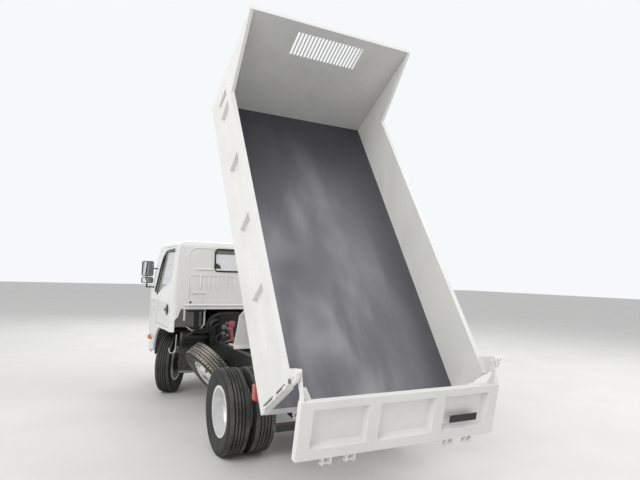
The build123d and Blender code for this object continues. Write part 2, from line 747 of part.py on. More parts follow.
with BuildPart() as cab_inside:
    cab_block(cab_wall, cab_front_skirt_z - 50)

with BuildPart() as cab_skin:
    add(cab_solid.part)
    add(cab_inside.part, mode=Mode.SUBTRACT)

with BuildPart() as cab_walls:
    add(cab_solid.part)
    for side in (-1, 1):
        face = side * cab_half_width
        lip = side * (cab_half_width + arch_lip_depth)
        turned([(face - side * 2, arch_radius - 10), (lip, arch_radius - 10),
                (lip, arch_radius + arch_lip - 8), (face - side * 2, arch_radius + arch_lip)],
               wheelbase, axle_z)
    add(cab_cavity.part, mode=Mode.SUBTRACT)
    under = tunnel_half_width - cab_sheet
    for half_width, front_y, top in (
            (cab_inner_x, seat_riser_y - cab_sheet, cab_tunnel_z - cab_sheet),
            (cab_inner_x, footwell_y - cab_sheet, cab_floor_z - cab_sheet),
            (under, footwell_y - cab_sheet, cab_tunnel_z - cab_sheet),
            (cab_inner_x, cab_front_y - cab_wall, cab_footwell_z - cab_sheet),
            (far, wheelbase, cab_skirt_z)):
        bar(-half_width, half_width, 0, front_y, -far, top, mode=Mode.SUBTRACT)
    bar(-far, far, wheelbase, far, -far, cab_front_skirt_z, mode=Mode.SUBTRACT)
    bar(-far, far, cab_front_y - cab_nose_length, far, 0, cab_nose_z, mode=Mode.SUBTRACT)
    cross_pin(arch_radius, -far, far, wheelbase, axle_z, mode=Mode.SUBTRACT)

door_outline = [(door_rear_y, door_bottom_z), (door_front_y - 250, door_bottom_z),
                (door_front_y - 140, door_step_z), (door_front_y, door_step_z),
                (door_front_y, cab_belt_z - 40), (door_front_y - 275, door_top_z),
                (door_rear_y, door_top_z)]
door_window = [(door_rear_y + 75, window_sill_z + window_sill_rise),
               (door_front_y - 470, window_sill_z + window_sill_rise / 2),
               (door_front_y - 115, window_sill_z), (door_front_y - 325, door_top_z - 60),
               (door_rear_y + 75, door_top_z - 60)]
screen_half_width = cab_half_width - 115
screen_window = [(-screen_half_width, cab_belt_z + 60), (screen_half_width, cab_belt_z + 60),
                 (cab_roof_half_width - 95, cab_roof_z - 110),
                 (95 - cab_roof_half_width, cab_roof_z - 110)]
rear_window_outline = [(-rear_window_half_width, rear_window_bottom_z),
                       (rear_window_half_width, rear_window_bottom_z),
                       (rear_window_half_width, rear_window_top_z),
                       (-rear_window_half_width, rear_window_top_z)]
screen_zone = (cab_front_y - 385, cab_front_y + 115)
rear_zone = (cab_rear_y - 80, cab_rear_y + 120)
door_far_x = cab_half_width + 55
corner_rounding = 30.0

# The doors' openings, and the rebate that lets the doors' thick inner edges swing out
with BuildPart() as cab_opening_core:
    cab_block(cab_wall + door_gap, cab_front_skirt_z - 50)

with BuildPart() as door_openings:
    add(cab_solid.part)
    side_plate(door_outline, -door_far_x, door_far_x, Mode.INTERSECT, corner_rounding, door_gap)
    add(cab_opening_core.part, mode=Mode.SUBTRACT)

with BuildPart() as door_rebate:
    cab_block(door_skin_depth, cab_front_skirt_z - 50)
    side_plate(door_outline, -door_far_x, door_far_x, Mode.SUBTRACT, corner_rounding, -door_setback)

# Thin feet of the rear corner pillars, tapering down over the open engine bay
foot_edge = ((727, 1120), (757, 1023), (804, 973), (826, 904), (836, cab_skirt_z))
with BuildPart() as foot_zone:
    for side in (-1, 1):
        front_plate([(side * (cab_half_width - 845 + x), z) for x, z in foot_edge]
                    + [(side * cab_half_width, cab_skirt_z), (side * cab_half_width, 1120)],
                    cab_rear_y - 5, cab_rear_y + 80)

with BuildPart() as foot_core:
    cab_block(pillar_sheet, cab_front_skirt_z - 50)

with BuildPart() as pillar_feet:
    add(cab_solid.part)
    add(foot_zone.part, mode=Mode.INTERSECT)
    add(foot_core.part, mode=Mode.SUBTRACT)

with BuildPart() as cab_shell:
    add(cab_walls.part)
    add(pillar_feet.part)
    add(door_openings.part, mode=Mode.SUBTRACT)
    front_plate(screen_window, *screen_zone, mode=Mode.SUBTRACT, rounding=50)
    front_plate(rear_window_outline, *rear_zone, mode=Mode.SUBTRACT, rounding=45)
    for side in (-1, 1):
        front_plate([(side * 50, 1225), (side * 640, 1225), (side * 640, 1530), (side * 50, 1530)],
                    cab_rear_y - 20, cab_rear_y + panel_recess, mode=Mode.SUBTRACT, rounding=40)
        for post_x, foot_z in ((680, 975), (430, 920)):
            bar(side * (post_x - hanger_post_width / 2), side * (post_x + hanger_post_width / 2),
                cab_rear_y + 3, cab_rear_y + 3 + hanger_post_width, foot_z, cab_tunnel_z - cab_sheet + 1)
        x0 = side * (rail_half_span + 20)
        x1 = side * (rail_half_span + 38)
        side_plate([(tilt_pivot_y - 105, cab_footwell_z - cab_sheet),
                    (tilt_pivot_y - 24, tilt_pivot_z), (tilt_pivot_y + 24, tilt_pivot_z),
                    (tilt_pivot_y + 24, cab_footwell_z - cab_sheet)], x0, x1)
        cross_pin(24, x0, x1, tilt_pivot_y, tilt_pivot_z)
        cross_pin(tilt_pin_radius + running_clearance, x0, x1, tilt_pivot_y, tilt_pivot_z,
                  mode=Mode.SUBTRACT)
        for height in hinge_heights:
            bar(side * cab_half_width, side * door_pivot_x, door_front_y + door_gap,
                door_front_y + 48, height - 40, height)
            with Locations((side * door_pivot_x, door_pivot_y, height - 20)):
                Cylinder(hinge_radius, 40)
keep(cab_shell, "cab_shell")

with BuildPart() as glass_layer:
    cab_block(glass_inset, 900)

with BuildPart() as glass_core:
    cab_block(glass_inset + glass_thickness, 800)

with BuildPart() as glass_shell:
    add(glass_layer.part)
    add(glass_core.part, mode=Mode.SUBTRACT)

with BuildPart() as screens:
    front_plate(screen_window, *screen_zone, rounding=50)
    front_plate(rear_window_outline, *rear_zone, rounding=45)

with BuildPart() as cab_glass:
    add(glass_shell.part)
    add(screens.part, mode=Mode.INTERSECT)
keep(cab_glass, "cab_glass")

for side, word in ((-1, "left"), (1, "right")):
    near_x = side * (cab_half_width - 245)
    far_x = side * door_far_x
    with BuildPart() as door:
        add(cab_skin.part)
        side_plate(door_outline, near_x, far_x, Mode.INTERSECT, corner_rounding)
        side_plate(door_window, near_x, far_x, Mode.SUBTRACT, corner_rounding)
        add(door_rebate.part, mode=Mode.SUBTRACT)
        for height in hinge_heights:
            bar(side * cab_half_width, side * door_pivot_x, door_front_y - 42, door_front_y,
                height + running_clearance, height + 40)
            with Locations((side * door_pivot_x, door_pivot_y, height + 20 + running_clearance / 2)):
                Cylinder(hinge_radius, 40 - running_clearance)
        with BuildSketch(Plane.YZ.offset(side * (cab_half_width - 1))) as grip:
            with Locations((door_rear_y + 100, cab_belt_z - 88)):
                SlotOverall(150, 40)
        extrude(grip.sketch, amount=side * grip_depth)
    keep(door, f"door_{word}")

    with BuildPart() as door_glass:
        add(glass_shell.part)
        side_plate(door_window, near_x, far_x, Mode.INTERSECT, corner_rounding)
    keep(door_glass, f"door_glass_{word}")

# Mirrors: a tall one and a wide one on each side's bent arm, ahead of the doors
mirror_y = cab_front_y - 355
mirror_reach = 92.0
mirror_half_width = 80.0
with BuildPart() as mirrors:
    for side in (-1, 1):
        mirror_x = side * (cab_half_width + mirror_reach)
        inner_x = mirror_x - side * mirror_half_width
        outer_x = mirror_x + side * mirror_half_width
        for z0, z1 in ((1500, 1715), (1398, 1490)):
            front_plate([(inner_x, z0), (outer_x, z0), (outer_x, z1), (inner_x, z1)],
                        mirror_y, mirror_y + 32, rounding=24)
        for height in (1345, 1610):
            bar(side * (cab_half_width - 145), mirror_x, mirror_y + 32, mirror_y + 48,
                height - 9, height + 9)
        bar(mirror_x - 9, mirror_x + 9, mirror_y + 32, mirror_y + 48, 1336, 1680)
    add(cab_solid.part, mode=Mode.SUBTRACT)
keep(mirrors, "mirrors")

# Grille: a rounded frame with level slats
grille_border = 18.0
slat_gap = (grille_top - grille_bottom) / (grille_slats + 1)
with BuildPart() as grille:
    y0 = cab_front_y + running_clearance
    front_plate([(-grille_half_width, grille_bottom), (grille_half_width, grille_bottom),
                 (grille_half_width, grille_top), (-grille_half_width, grille_top)],
                y0, y0 + 14, rounding=26)
    front_plate([(grille_border - grille_half_width, grille_bottom + grille_border),
                 (grille_half_width - grille_border, grille_bottom + grille_border),
                 (grille_half_width - grille_border, grille_top - grille_border),
                 (grille_border - grille_half_width, grille_top - grille_border)],
                y0 + 4, y0 + 20, mode=Mode.SUBTRACT, rounding=12)
    for slat in range(1, grille_slats + 1):
        height = grille_bottom + slat * slat_gap
        side_plate([(y0 + 3, height - 7), (y0 + 12, height - 7), (y0 + 9, height + 5),
                    (y0 + 3, height + 5)], grille_border - grille_half_width,
                   grille_half_width - grille_border)
keep(grille, "grille")

# Head lamps: a rounded bezel and a round bulging lens on each side
with BuildPart() as head_lamps:
    y0 = cab_front_y + running_clearance
    lamp_middle_z = (lamp_bottom + lamp_top) / 2
    for side in (-1, 1):
        outer_x = side * (cab_half_width - lamp_outer_inset)
        inner_x = outer_x - side * lamp_width
        front_plate([(inner_x, lamp_bottom), (outer_x, lamp_bottom), (outer_x, lamp_top),
                     (inner_x, lamp_top)], y0, y0 + 12, rounding=30)
        long_tube((lamp_top - lamp_bottom) / 2 - 10, (outer_x + inner_x) / 2, y0 + 11, y0 + 24,
                  lamp_middle_z)
keep(head_lamps, "head_lamps")

# Seats, dashboard and steering wheel; seat outline as (behind the riser's edge, above the tunnel)
seat_outer_x = cab_inner_x - 107
seat_inner_x = 160.0
seat_outline = ((-190, running_clearance), (280, running_clearance), (300, 120), (-120, 95),
                (-230, 650), (-320, 650), (-230, 50))
with BuildPart() as seats:
    for side in (-1, 1):
        side_plate([(seat_riser_y + y, cab_tunnel_z + z) for y, z in seat_outline],
                   side * seat_inner_x, side * seat_outer_x, rounding=20)
keep(seats, "seats")

dashboard_outline = ((-385, -80), (-105, -180), (0, -140), (0, 0), (-165, 50), (-345, 20))
with BuildPart() as dashboard:
    cab_block(cab_wall + running_clearance, 900)
    side_plate([(cab_front_y + y, cab_belt_z + z) for y, z in dashboard_outline],
               -cab_half_width, cab_half_width, mode=Mode.INTERSECT)
keep(dashboard, "dashboard")

steering_z = cab_belt_z + 110
column_lean = math.radians(26.5)
with BuildPart() as steering_wheel:
    column_length = (steering_z - cab_footwell_z - running_clearance
                     - 22 * math.sin(column_lean)) / math.cos(column_lean)
    wheel_plane = Plane(((seat_inner_x + seat_outer_x) / 2, cab_front_y - 505, steering_z),
                        x_dir=(1, 0, 0), z_dir=(0, -math.sin(column_lean), math.cos(column_lean)))
    with Locations(wheel_plane.location):
        Torus(195, 14)
        Cylinder(38, 30)
        Cylinder(22, column_length, align=(Align.CENTER, Align.CENTER, Align.MAX))
    for turn in (0, 120, 240):
        with Locations(wheel_plane.location * Location((0, 0, 0), (0, 0, turn))):
            with Locations((98, 0, 0)):
                Box(196, 26, 10)
keep(steering_wheel, "steering_wheel")

# Bed, drawn lying flat in its own frame
with BuildPart() as bed_floor:
    bar(-bed_half_width, bed_half_width, bed_rear_u, headboard_u, member_top, floor_top)
    for side in (-1, 1):
        x0 = side * sill_outer_x
        x1 = side * sill_inner_x
        side_plate([(0, -40), (60, sill_bottom), (headboard_u - 40, sill_bottom),
                    (headboard_u - 40, member_bottom), (0, member_bottom)], x0, x1)
        cross_pin(40, x0, x1, 0, 0)
        side_plate([(bed_rear_u, member_bottom), (60, member_bottom), (0, -38), (-60, 10)], x0, x1)
        cross_pin(hinge_pin_diameter / 2 + running_clearance, x0, x1, 0, 0, mode=Mode.SUBTRACT)
    for station in cross_stations:
        bar(2 - bed_half_width, bed_half_width - 2, station - cross_member_width / 2,
            station + cross_member_width / 2, member_bottom, member_top)
    bar(2 - bed_half_width, bed_half_width - 2, bed_rear_u, bed_rear_u + 110, -10, member_top)
    bracket_rear, bracket_front = cross_stations[3], cross_stations[4]
    for side in (-1, 1):
        side_plate([(bracket_rear, member_bottom + 5), (hoist_eye_u - 45, hoist_eye_w - 35),
                    (hoist_eye_u + 45, hoist_eye_w - 35), (bracket_front, member_bottom + 5),
                    (bracket_front, member_top), (bracket_rear, member_top)],
                   side * (hoist_eye_half_width + 6), side * (hoist_eye_half_width + 24))
        cross_pin(hoist_pin_diameter / 2 + 6, side * (hoist_eye_half_width + 6),
                  side * (hoist_eye_half_width + 34), hoist_eye_u, hoist_eye_w)
        for centre in gate_lug_centres:
            x0 = side * centre - 7
            side_plate([(bed_rear_u + 60, -10), (bed_rear_u + 60, 30), (bed_rear_u, 30),
                        (bed_rear_u - 14, -18), (bed_rear_u - 34, -22), (bed_rear_u - 38, 6),
                        (bed_rear_u - 50, 4), (bed_rear_u - 48, -36), (bed_rear_u - 4, -40),
                        (bed_rear_u + 18, -8)], x0, x0 + 14)
keep(bed_floor, "bed_floor", bed_location)

rail_bottom_w = side_top - side_rail_height
sill_top_w = floor_top + side_sill_top
for side, word in ((-1, "left"), (1, "right")):
    inner = side * bed_half_width
    skin = side * (bed_half_width + side_skin)
    outer = side * bed_outer_x
    ear_inner = side * (gate_pin_x + 3)
    with BuildPart() as bed_side:
        bar(inner, skin, bed_rear_u, headboard_u, skirt_bottom, side_top)
        bar(inner, outer, bed_rear_u, headboard_outer_u, skirt_bottom, sill_top_w)
        front_plate([(skin, rail_bottom_w + 20), (outer, rail_bottom_w), (outer, side_top),
                     (skin, side_top)], bed_rear_u + 90, headboard_outer_u)
        bar(inner, outer, bed_rear_u, -5, skirt_bottom, side_top)
        for station in stake_stations:
            side_plate([(station - stake_width / 2, sill_top_w), (station + stake_width / 2, sill_top_w),
                        (station + stake_width / 2 - stake_taper, rail_bottom_w + 20),
                        (station - stake_width / 2 + stake_taper, rail_bottom_w + 20)], skin, outer)
        bar(inner, outer, headboard_u - 120, headboard_outer_u, skirt_bottom, side_top)
        side_plate([(gate_pin_u - gate_ear_radius, side_top - 30), (gate_pin_u + 110, side_top - 30),
                    (gate_pin_u + gate_ear_radius, gate_pin_w),
                    (gate_pin_u - gate_ear_radius, gate_pin_w)], ear_inner, outer)
        cross_pin(gate_ear_radius, ear_inner, outer, gate_pin_u, gate_pin_w)
        cross_pin(gate_pin_diameter / 2, side * (gate_pin_x - 24), outer + side * 10,
                  gate_pin_u, gate_pin_w)
        side_plate([(headboard_u - gusset_length, side_top - 5), (headboard_u, side_top - 5),
                    (headboard_u, headboard_top)], inner, inner + side * headboard_overhang)
    keep(bed_side, f"bed_side_{word}", bed_location)

# Headboard: a thin skin with its row of slots, stiffened on the cab's side by rails and posts
board_rear = headboard_u + running_clearance
board_skin = board_rear + headboard_skin
board_half_width = bed_half_width + headboard_overhang
slot_top = headboard_top - slot_below_top
post_stations = (-slot_count * slot_pitch / 2 - headboard_post / 2,
                 slot_count * slot_pitch / 2 + headboard_post / 2)
with BuildPart() as headboard:
    bar(-board_half_width, board_half_width, board_rear, board_skin, side_top, headboard_top)
    bar(running_clearance - bed_half_width, bed_half_width - running_clearance, board_rear,
        board_skin, floor_top - 90, side_top)
    bar(-board_half_width, board_half_width, board_rear, headboard_outer_u,
        headboard_top - headboard_rail, headboard_top)
    bar(running_clearance - bed_half_width, bed_half_width - running_clearance, board_rear,
        headboard_outer_u, floor_top - 90, floor_top + headboard_rail)
    for side in (-1, 1):
        bar(side * board_half_width, side * (board_half_width - headboard_post), board_rear,
            headboard_outer_u, side_top, headboard_top)
        bar(side * (bed_half_width - running_clearance), side * (board_half_width - headboard_post),
            board_rear, headboard_outer_u, floor_top - 90, side_top)
    for station in post_stations:
        bar(station - headboard_post / 2 + 5, station + headboard_post / 2 - 5, board_rear,
            headboard_outer_u, floor_top - 90, headboard_top)
    with BuildSketch(Plane.XZ.offset(-headboard_u + 10)):
        with Locations((0, slot_top - slot_length / 2)):
            with GridLocations(slot_pitch, 0, slot_count, 1):
                SlotOverall(slot_length, slot_width, rotation=90)
    extrude(amount=-(headboard_thickness + 30), mode=Mode.SUBTRACT)
keep(headboard, "headboard", bed_location)

# Mudguards: a folded sheet behind each pair of wheels, hung from the third cross member
guard_top = member_bottom - running_clearance
guard_u = cross_stations[2]
guard_outer = ((0, 0), (15, -157), (-34, -219), (-130, -368), (-164, -381))
guard_inner = ((-166, -375), (-134, -362), (-39, -215), (9, -156), (-6, 0))
with BuildPart() as mudguards:
    for side in (-1, 1):
        side_plate([(guard_u + u, guard_top + w) for u, w in guard_outer + guard_inner],
                   side * (bed_outer_x - 2), side * 440)
        bar(side * (bed_half_width - 2), side * bed_outer_x, guard_u - 60, guard_u + 60,
            skirt_bottom - 2 * moving_clearance, guard_top, mode=Mode.SUBTRACT)
        bar(side * (bed_half_width - 2), side * 440, guard_u - cross_member_width / 2,
            guard_u + cross_member_width / 2, guard_top - guard_thickness, guard_top)
keep(mudguards, "mudguards", bed_location)

# Tailgate, drawn closed with its zero on the line of its pins
gate_front = -gate_inner_offset
gate_back = gate_front - gate_thickness
gate_face = gate_front - gate_skin
gate_top = -gate_top_drop
gate_elbow = side_top - gate_pin_w + 2 * moving_clearance
with BuildPart() as tailgate:
    bar(-gate_half_width, gate_half_width, gate_face, gate_front, gate_bottom, gate_top)
    bar(-gate_half_width, gate_half_width, gate_back, gate_front, gate_top - gate_rail, gate_top)
    side_plate([(gate_front, gate_bottom), (gate_front, gate_bottom + gate_sill + gate_shelf),
                (gate_face, gate_bottom + gate_sill + gate_shelf),
                (gate_back, gate_bottom + gate_sill), (gate_back, gate_bottom)],
               -gate_half_width, gate_half_width)
    for side in (-1, 1):
        edge = side * gate_half_width
        plan_plate([(edge, gate_front), (edge, gate_back), (edge - side * gate_stile, gate_back),
                    (edge - side * (gate_stile + gate_rib_flare), gate_front)], gate_bottom, gate_top)
        half = gate_rib_width / 2
        rib_x = side * gate_rib_x
        plan_plate([(rib_x - half - gate_rib_flare, gate_front), (rib_x - half, gate_back),
                    (rib_x + half, gate_back), (rib_x + half + gate_rib_flare, gate_front)],
                   gate_bottom, gate_top)
        x0 = side * (gate_pin_x - 8)
        x1 = x0 - side * gate_arm_thickness
        side_plate([(gate_front, gate_top - 120), (gate_front, gate_elbow), (20, -10), (0, 20),
                    (-20, 10), (gate_back, gate_top), (gate_back, gate_top - 120)], x0, x1)
        front_plate([(x0, gate_top - 20), (x0, -60), (x0 - side * 36, -60),
                     (x0 - side * 92, gate_top - 20)], gate_face, gate_front)
        cross_pin(24, x0, x1, 0, 0)
        cross_pin(gate_pin_diameter / 2 + running_clearance, x0, x1, 0, 0, mode=Mode.SUBTRACT)
        for centre in gate_lug_centres:
            lug_x = side * centre
            for plate in (-1, 1):
                near_plate = lug_x + plate * gate_lug_half_gap
                side_plate([(gate_face, gate_bottom + 2), (gate_back, gate_bottom + 2),
                            (gate_back + 10, gate_bottom - gate_lug_reach),
                            (gate_face - 8, gate_bottom - gate_lug_reach)],
                           near_plate, near_plate + plate * gate_lug_thickness)
            pin_reach = gate_lug_half_gap + gate_lug_thickness + 12
            cross_pin(9, lug_x - pin_reach, lug_x + pin_reach, (gate_face + gate_back) / 2,
                      gate_bottom - gate_lug_reach + 14)

gate_centre = tailgate.part.center(CenterOf.MASS)
gate_swing = math.degrees(math.atan2(gate_centre.Y, -gate_centre.Z))
gate_turn = -(bed_angle + gate_swing)
gate_location = bed_location * Location((0, gate_pin_u, gate_pin_w), (gate_turn, 0, 0))
keep(tailgate, "tailgate", gate_location)

# Hoist cylinder between the chassis pivot and the bed's bracket
turn = math.radians(bed_angle)
eye_y = hinge_y + hoist_eye_u * math.cos(turn) - hoist_eye_w * math.sin(turn)
eye_z = hinge_z + hoist_eye_u * math.sin(turn) + hoist_eye_w * math.cos(turn)
hoist_run = math.hypot(eye_y - hoist_base_y, eye_z - hoist_base_z)
hoist_angle = math.degrees(math.atan2(eye_z - hoist_base_z, eye_y - hoist_base_y))
flat_reach = hinge_y + hoist_eye_u - hoist_base_y
flat_rise = hinge_z + hoist_eye_w - hoist_base_z
flat_run = math.hypot(flat_reach, flat_rise)
flat_angle = math.degrees(math.atan2(flat_rise, flat_reach))
hoist_location = Location((0, hoist_base_y, hoist_base_z), (hoist_angle, 0, 0))
barrel_length = flat_run - hoist_gland_reach
barrel_base = 45.0
rod_length = flat_run - barrel_base - 50
with BuildPart() as hoist_barrel:
    long_tube(barrel_diameter / 2, 0, barrel_base, barrel_length - 30, 0)
    long_tube(barrel_diameter / 2 - 8, 0, barrel_length - 31, barrel_length, 0)
    long_tube(rod_diameter / 2 + running_clearance, 0, barrel_base + 30, flat_run, 0,
              mode=Mode.SUBTRACT)
    long_tube(40, 0, 20, 60, 0)
    cross_pin(36, -70, 70, 0, 0)
    cross_pin(hoist_pin_diameter / 2 + running_clearance, -80, 80, 0, 0, mode=Mode.SUBTRACT)
keep(hoist_barrel, "hoist_barrel", hoist_location)

with BuildPart() as hoist_rod:
    long_tube(rod_diameter / 2, 0, hoist_run - rod_length, hoist_run, 0)
    cross_pin(36, -hoist_eye_half_width, hoist_eye_half_width, hoist_run, 0)
keep(hoist_rod, "hoist_rod", hoist_location)

# The kept frame stands on the ground below the middle of the whole truck
placed = [(place * part, label) for part, label, place in pieces]
boxes = [part.bounding_box() for part, label in placed]
middle_y = (min(box.min.Y for box in boxes) + max(box.max.Y for box in boxes)) / 2
to_middle = Location((0, -middle_y, 0))
os.makedirs("parts", exist_ok=True)
for part, label in placed:
    solid = to_middle * part
    solid.label = label
    export_step(solid, f"parts/{label}.step")
print("middle_y", round(middle_y, 3), "gate_turn", round(gate_turn, 3))
print("hoist", round(flat_run, 1), round(hoist_run, 1), round(flat_angle, 2), round(hoist_angle, 2))
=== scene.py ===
"""Dump truck with its bed raised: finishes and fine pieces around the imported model."""
import json
import logging
import math
from dataclasses import dataclass, field
from enum import Enum

import bpy
import numpy as np
from mathutils import Matrix, Vector


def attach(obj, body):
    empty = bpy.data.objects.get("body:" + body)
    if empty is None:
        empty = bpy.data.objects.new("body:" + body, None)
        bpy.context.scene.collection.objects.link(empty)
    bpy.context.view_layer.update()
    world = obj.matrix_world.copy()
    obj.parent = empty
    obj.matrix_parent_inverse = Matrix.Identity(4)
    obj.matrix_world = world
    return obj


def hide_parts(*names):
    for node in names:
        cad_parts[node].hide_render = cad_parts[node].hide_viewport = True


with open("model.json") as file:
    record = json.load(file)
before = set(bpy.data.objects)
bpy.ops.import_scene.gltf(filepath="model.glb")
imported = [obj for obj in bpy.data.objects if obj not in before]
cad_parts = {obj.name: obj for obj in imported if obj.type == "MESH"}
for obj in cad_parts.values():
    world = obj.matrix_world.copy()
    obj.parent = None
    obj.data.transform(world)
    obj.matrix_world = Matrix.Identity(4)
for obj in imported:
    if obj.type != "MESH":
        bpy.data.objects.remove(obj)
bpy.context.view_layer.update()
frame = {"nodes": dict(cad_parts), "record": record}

log = logging.getLogger("dump_truck")

Point = tuple[float, float, float]
Colour = tuple[float, float, float]

# Places that the fine pieces hang on, in metres in the frame of the model
JOINTS = {joint["name"]: joint for joint in frame["record"]["behaviour"]["joints"]}
BED_PIN = np.array(JOINTS["bed_tilt"]["pos_m"])
AXLE_Y = JOINTS["roll_rear_left"]["pos_m"][1]
BED_ANGLE = math.radians(-JOINTS["bed_tilt"]["range_deg"][0])
GATE_PIN = np.array(JOINTS["tailgate_swing"]["pos_m"])
GATE_LEAN = BED_ANGLE - math.radians(JOINTS["tailgate_swing"]["range_deg"][1])

# The model's three directions, and the sign and the word of each side
RIGHT, AHEAD, UP = np.eye(3)
SIDES = ((-1, "left"), (1, "right"))

# The outward faces of a box whose corners run round its foot and then round its top
BOX_FACES = np.array([(3, 2, 1, 0), (4, 5, 6, 7), (1, 5, 4, 0), (2, 6, 5, 1), (3, 7, 6, 2),
                      (0, 4, 7, 3)])

# The radius that a closed end's points stand on, so that they never meet
POLE = 1e-5


def toned(colour: Colour, share: float) -> Colour:
    """Give a colour darker or paler by a share."""
    return tuple(channel * share for channel in colour)


def chassis(x: float, y: float, z: float) -> np.ndarray:
    """Turn a place given from the ground under the rear axle into the model's frame."""
    return np.array([x, y + AXLE_Y, z])


def tilted(points: np.ndarray, pin: np.ndarray, angle: float) -> np.ndarray:
    """Turn places from a frame that is tilted about a pin into the model's frame.

    A place at u along the tilted frame and w out of it lies at y = pin + u cos a - w sin a,
    z = pin + u sin a + w cos a.

    Args:
        points: (across, along, out) places in the tilted frame, one a row.
        pin: The pin's place.
        angle: The frame's angle about X, in radians.

    Returns:
        The same places in the model's frame.
    """
    across, along, out = points.T
    y = pin[1] + along * math.cos(angle) - out * math.sin(angle)
    z = pin[2] + along * math.sin(angle) + out * math.cos(angle)
    return np.column_stack([across, y, z])


@dataclass(frozen=True)
class Value:
    """One output of a shader's node, which Python's operators act on."""

    shader: "Shader"
    socket: bpy.types.NodeSocket

    def _math(self, operation: str, first: "Value | float", second: "Value | float") -> "Value":
        """Join two numbers by one Math node."""
        return self.shader.node("ShaderNodeMath", {"operation": operation}, {0: first, 1: second})

    def __add__(self, other: "Value | float") -> "Value":
        """Add a number or another value."""
        return self._math("ADD", self, other)

    def __radd__(self, other: float) -> "Value":
        """Add this value to a number."""
        return self._math("ADD", other, self)

    def __sub__(self, other: "Value | float") -> "Value":
        """Take a number or another value away."""
        return self._math("SUBTRACT", self, other)

    def __rsub__(self, other: float) -> "Value":
        """Take this value from a number."""
        return self._math("SUBTRACT", other, self)

    def __mul__(self, other: "Value | float") -> "Value":
        """Multiply by a number or another value."""
        return self._math("MULTIPLY", self, other)

    def __rmul__(self, other: float) -> "Value":
        """Multiply a number by this value."""
        return self._math("MULTIPLY", other, self)

    def size(self) -> "Value":
        """Drop the sign."""
        return self._math("ABSOLUTE", self, 0.0)

    def sine(self) -> "Value":
        """Give the sine of an angle."""
        return self._math("SINE", self, 0.0)

    def step(self, low: float, high: float) -> "Value":
        """Rise smoothly from 0 at low to 1 at high, or fall where low is above high."""
        names = {"Value": self, "From Min": low, "From Max": high}
        return self.shader.node("ShaderNodeMapRange", {"interpolation_type": "SMOOTHSTEP"}, names)


@dataclass
class Shader:
    """One material's nodes, made from Python expressions."""

    name: str
    material: bpy.types.Material = field(init=False)
    surface: bpy.types.Node = field(init=False)
    place: Value = field(init=False)

    def __post_init__(self) -> None:
        """Start a material with its Principled shader and its Object coordinates."""
        self.material = bpy.data.materials.new(self.name)
        self.material.use_nodes = True
        self.surface = self.material.node_tree.nodes["Principled BSDF"]
        self.place = self.node("ShaderNodeTexCoord", {}, {}, "Object")

    def node(self, kind: str, settings: dict, inputs: dict, output: int | str = 0) -> Value:
        """Add one node.

        Args:
            kind: The node's type.
            settings: Its properties, set first.
            inputs: Values, links or constants, by the socket's name or number.
            output: The output that the expression goes on with.

        Returns:
            That output.
        """
        made = self.material.node_tree.nodes.new(kind)
        for key, setting in settings.items():
            setattr(made, key, setting)
        for key, given in inputs.items():
            self.feed(made.inputs[key], given)
        return Value(self, made.outputs[output])

    def vector(self, operation: str, *inputs: "Value | Point", output: str = "Vector") -> Value:
        """Join vectors by one Vector Math node."""
        return self.node("ShaderNodeVectorMath", {"operation": operation},
                         dict(enumerate(inputs)), output)

    def feed(self, socket: bpy.types.NodeSocket, given: "Value | float | tuple") -> None:
        """Link a value to a socket, or set the socket's constant.

        Args:
            socket: The socket.
            given: What it gets.
        """
        if isinstance(given, Value):
            self.material.node_tree.links.new(given.socket, socket)
        elif isinstance(given, tuple) and len(socket.default_value) == 4:
            socket.default_value = (*given, 1.0)
        else:
            socket.default_value = given

    def axis(self, name: str) -> Value:
        """Give the X, Y or Z of a point on the piece."""
        return self.node("ShaderNodeSeparateXYZ", {}, {0: self.place}, name)

    def from_hinge(self, angle: float) -> Value:
        """Give a point's way from the bed's hinge at an angle a: y cos a + z sin a."""
        y, z = self.axis("Y") - float(BED_PIN[1]), self.axis("Z") - float(BED_PIN[2])
        return y * math.cos(angle) + z * math.sin(angle)

    def facing(self, name: str) -> Value:
        """Give the X, Y or Z of the surface's own direction."""
        normal = self.node("ShaderNodeNewGeometry", {}, {}, "Normal")
        return self.node("ShaderNodeSeparateXYZ", {}, {0: normal}, name)

    def noise(self, scale: float, detail: float = 3.0, stretch: Point = (1.0, 1.0, 1.0)) -> Value:
        """Give soft noise from 0 to 1.

        Args:
            scale: How many spots it has to a metre.
            detail: How many finer layers it has.
            stretch: What its X, Y and Z are multiplied by first.

        Returns:
            The noise.
        """
        spread = self.vector("MULTIPLY", self.place, stretch)
        return self.node("ShaderNodeTexNoise", {}, {"Vector": spread, "Scale": scale,
                                                    "Detail": detail})

    def blend(self, first: "Value | Colour", second: "Value | Colour", share: Value) -> Value:
        """Mix two colours by a share of the second."""
        return self.node("ShaderNodeMix", {"data_type": "RGBA"}, {0: share, 6: first, 7: second}, 2)

    def bump(self, height: Value, depth: float, below: "Value | None" = None) -> Value:
        """Turn a height from 0 to 1 into a bumped normal.

        Args:
            height: The height.
            depth: How deep it is, in metres.
            below: A coarser bump that it lies on.

        Returns:
            The normal.
        """
        inputs = {"Height": height, "Distance": depth, "Strength": 1.0}
        if below is not None:
            inputs["Normal"] = below
        return self.node("ShaderNodeBump", {}, inputs)

    def finish(self, **sockets: "Value | float | tuple") -> bpy.types.Material:
        """Feed the Principled shader's sockets, named with _ for a space.

        Args:
            sockets: What each socket gets.

        Returns:
            The finished material.
        """
        for name, given in sockets.items():
            self.feed(self.surface.inputs[name.replace("_", " ")], given)
        return self.material


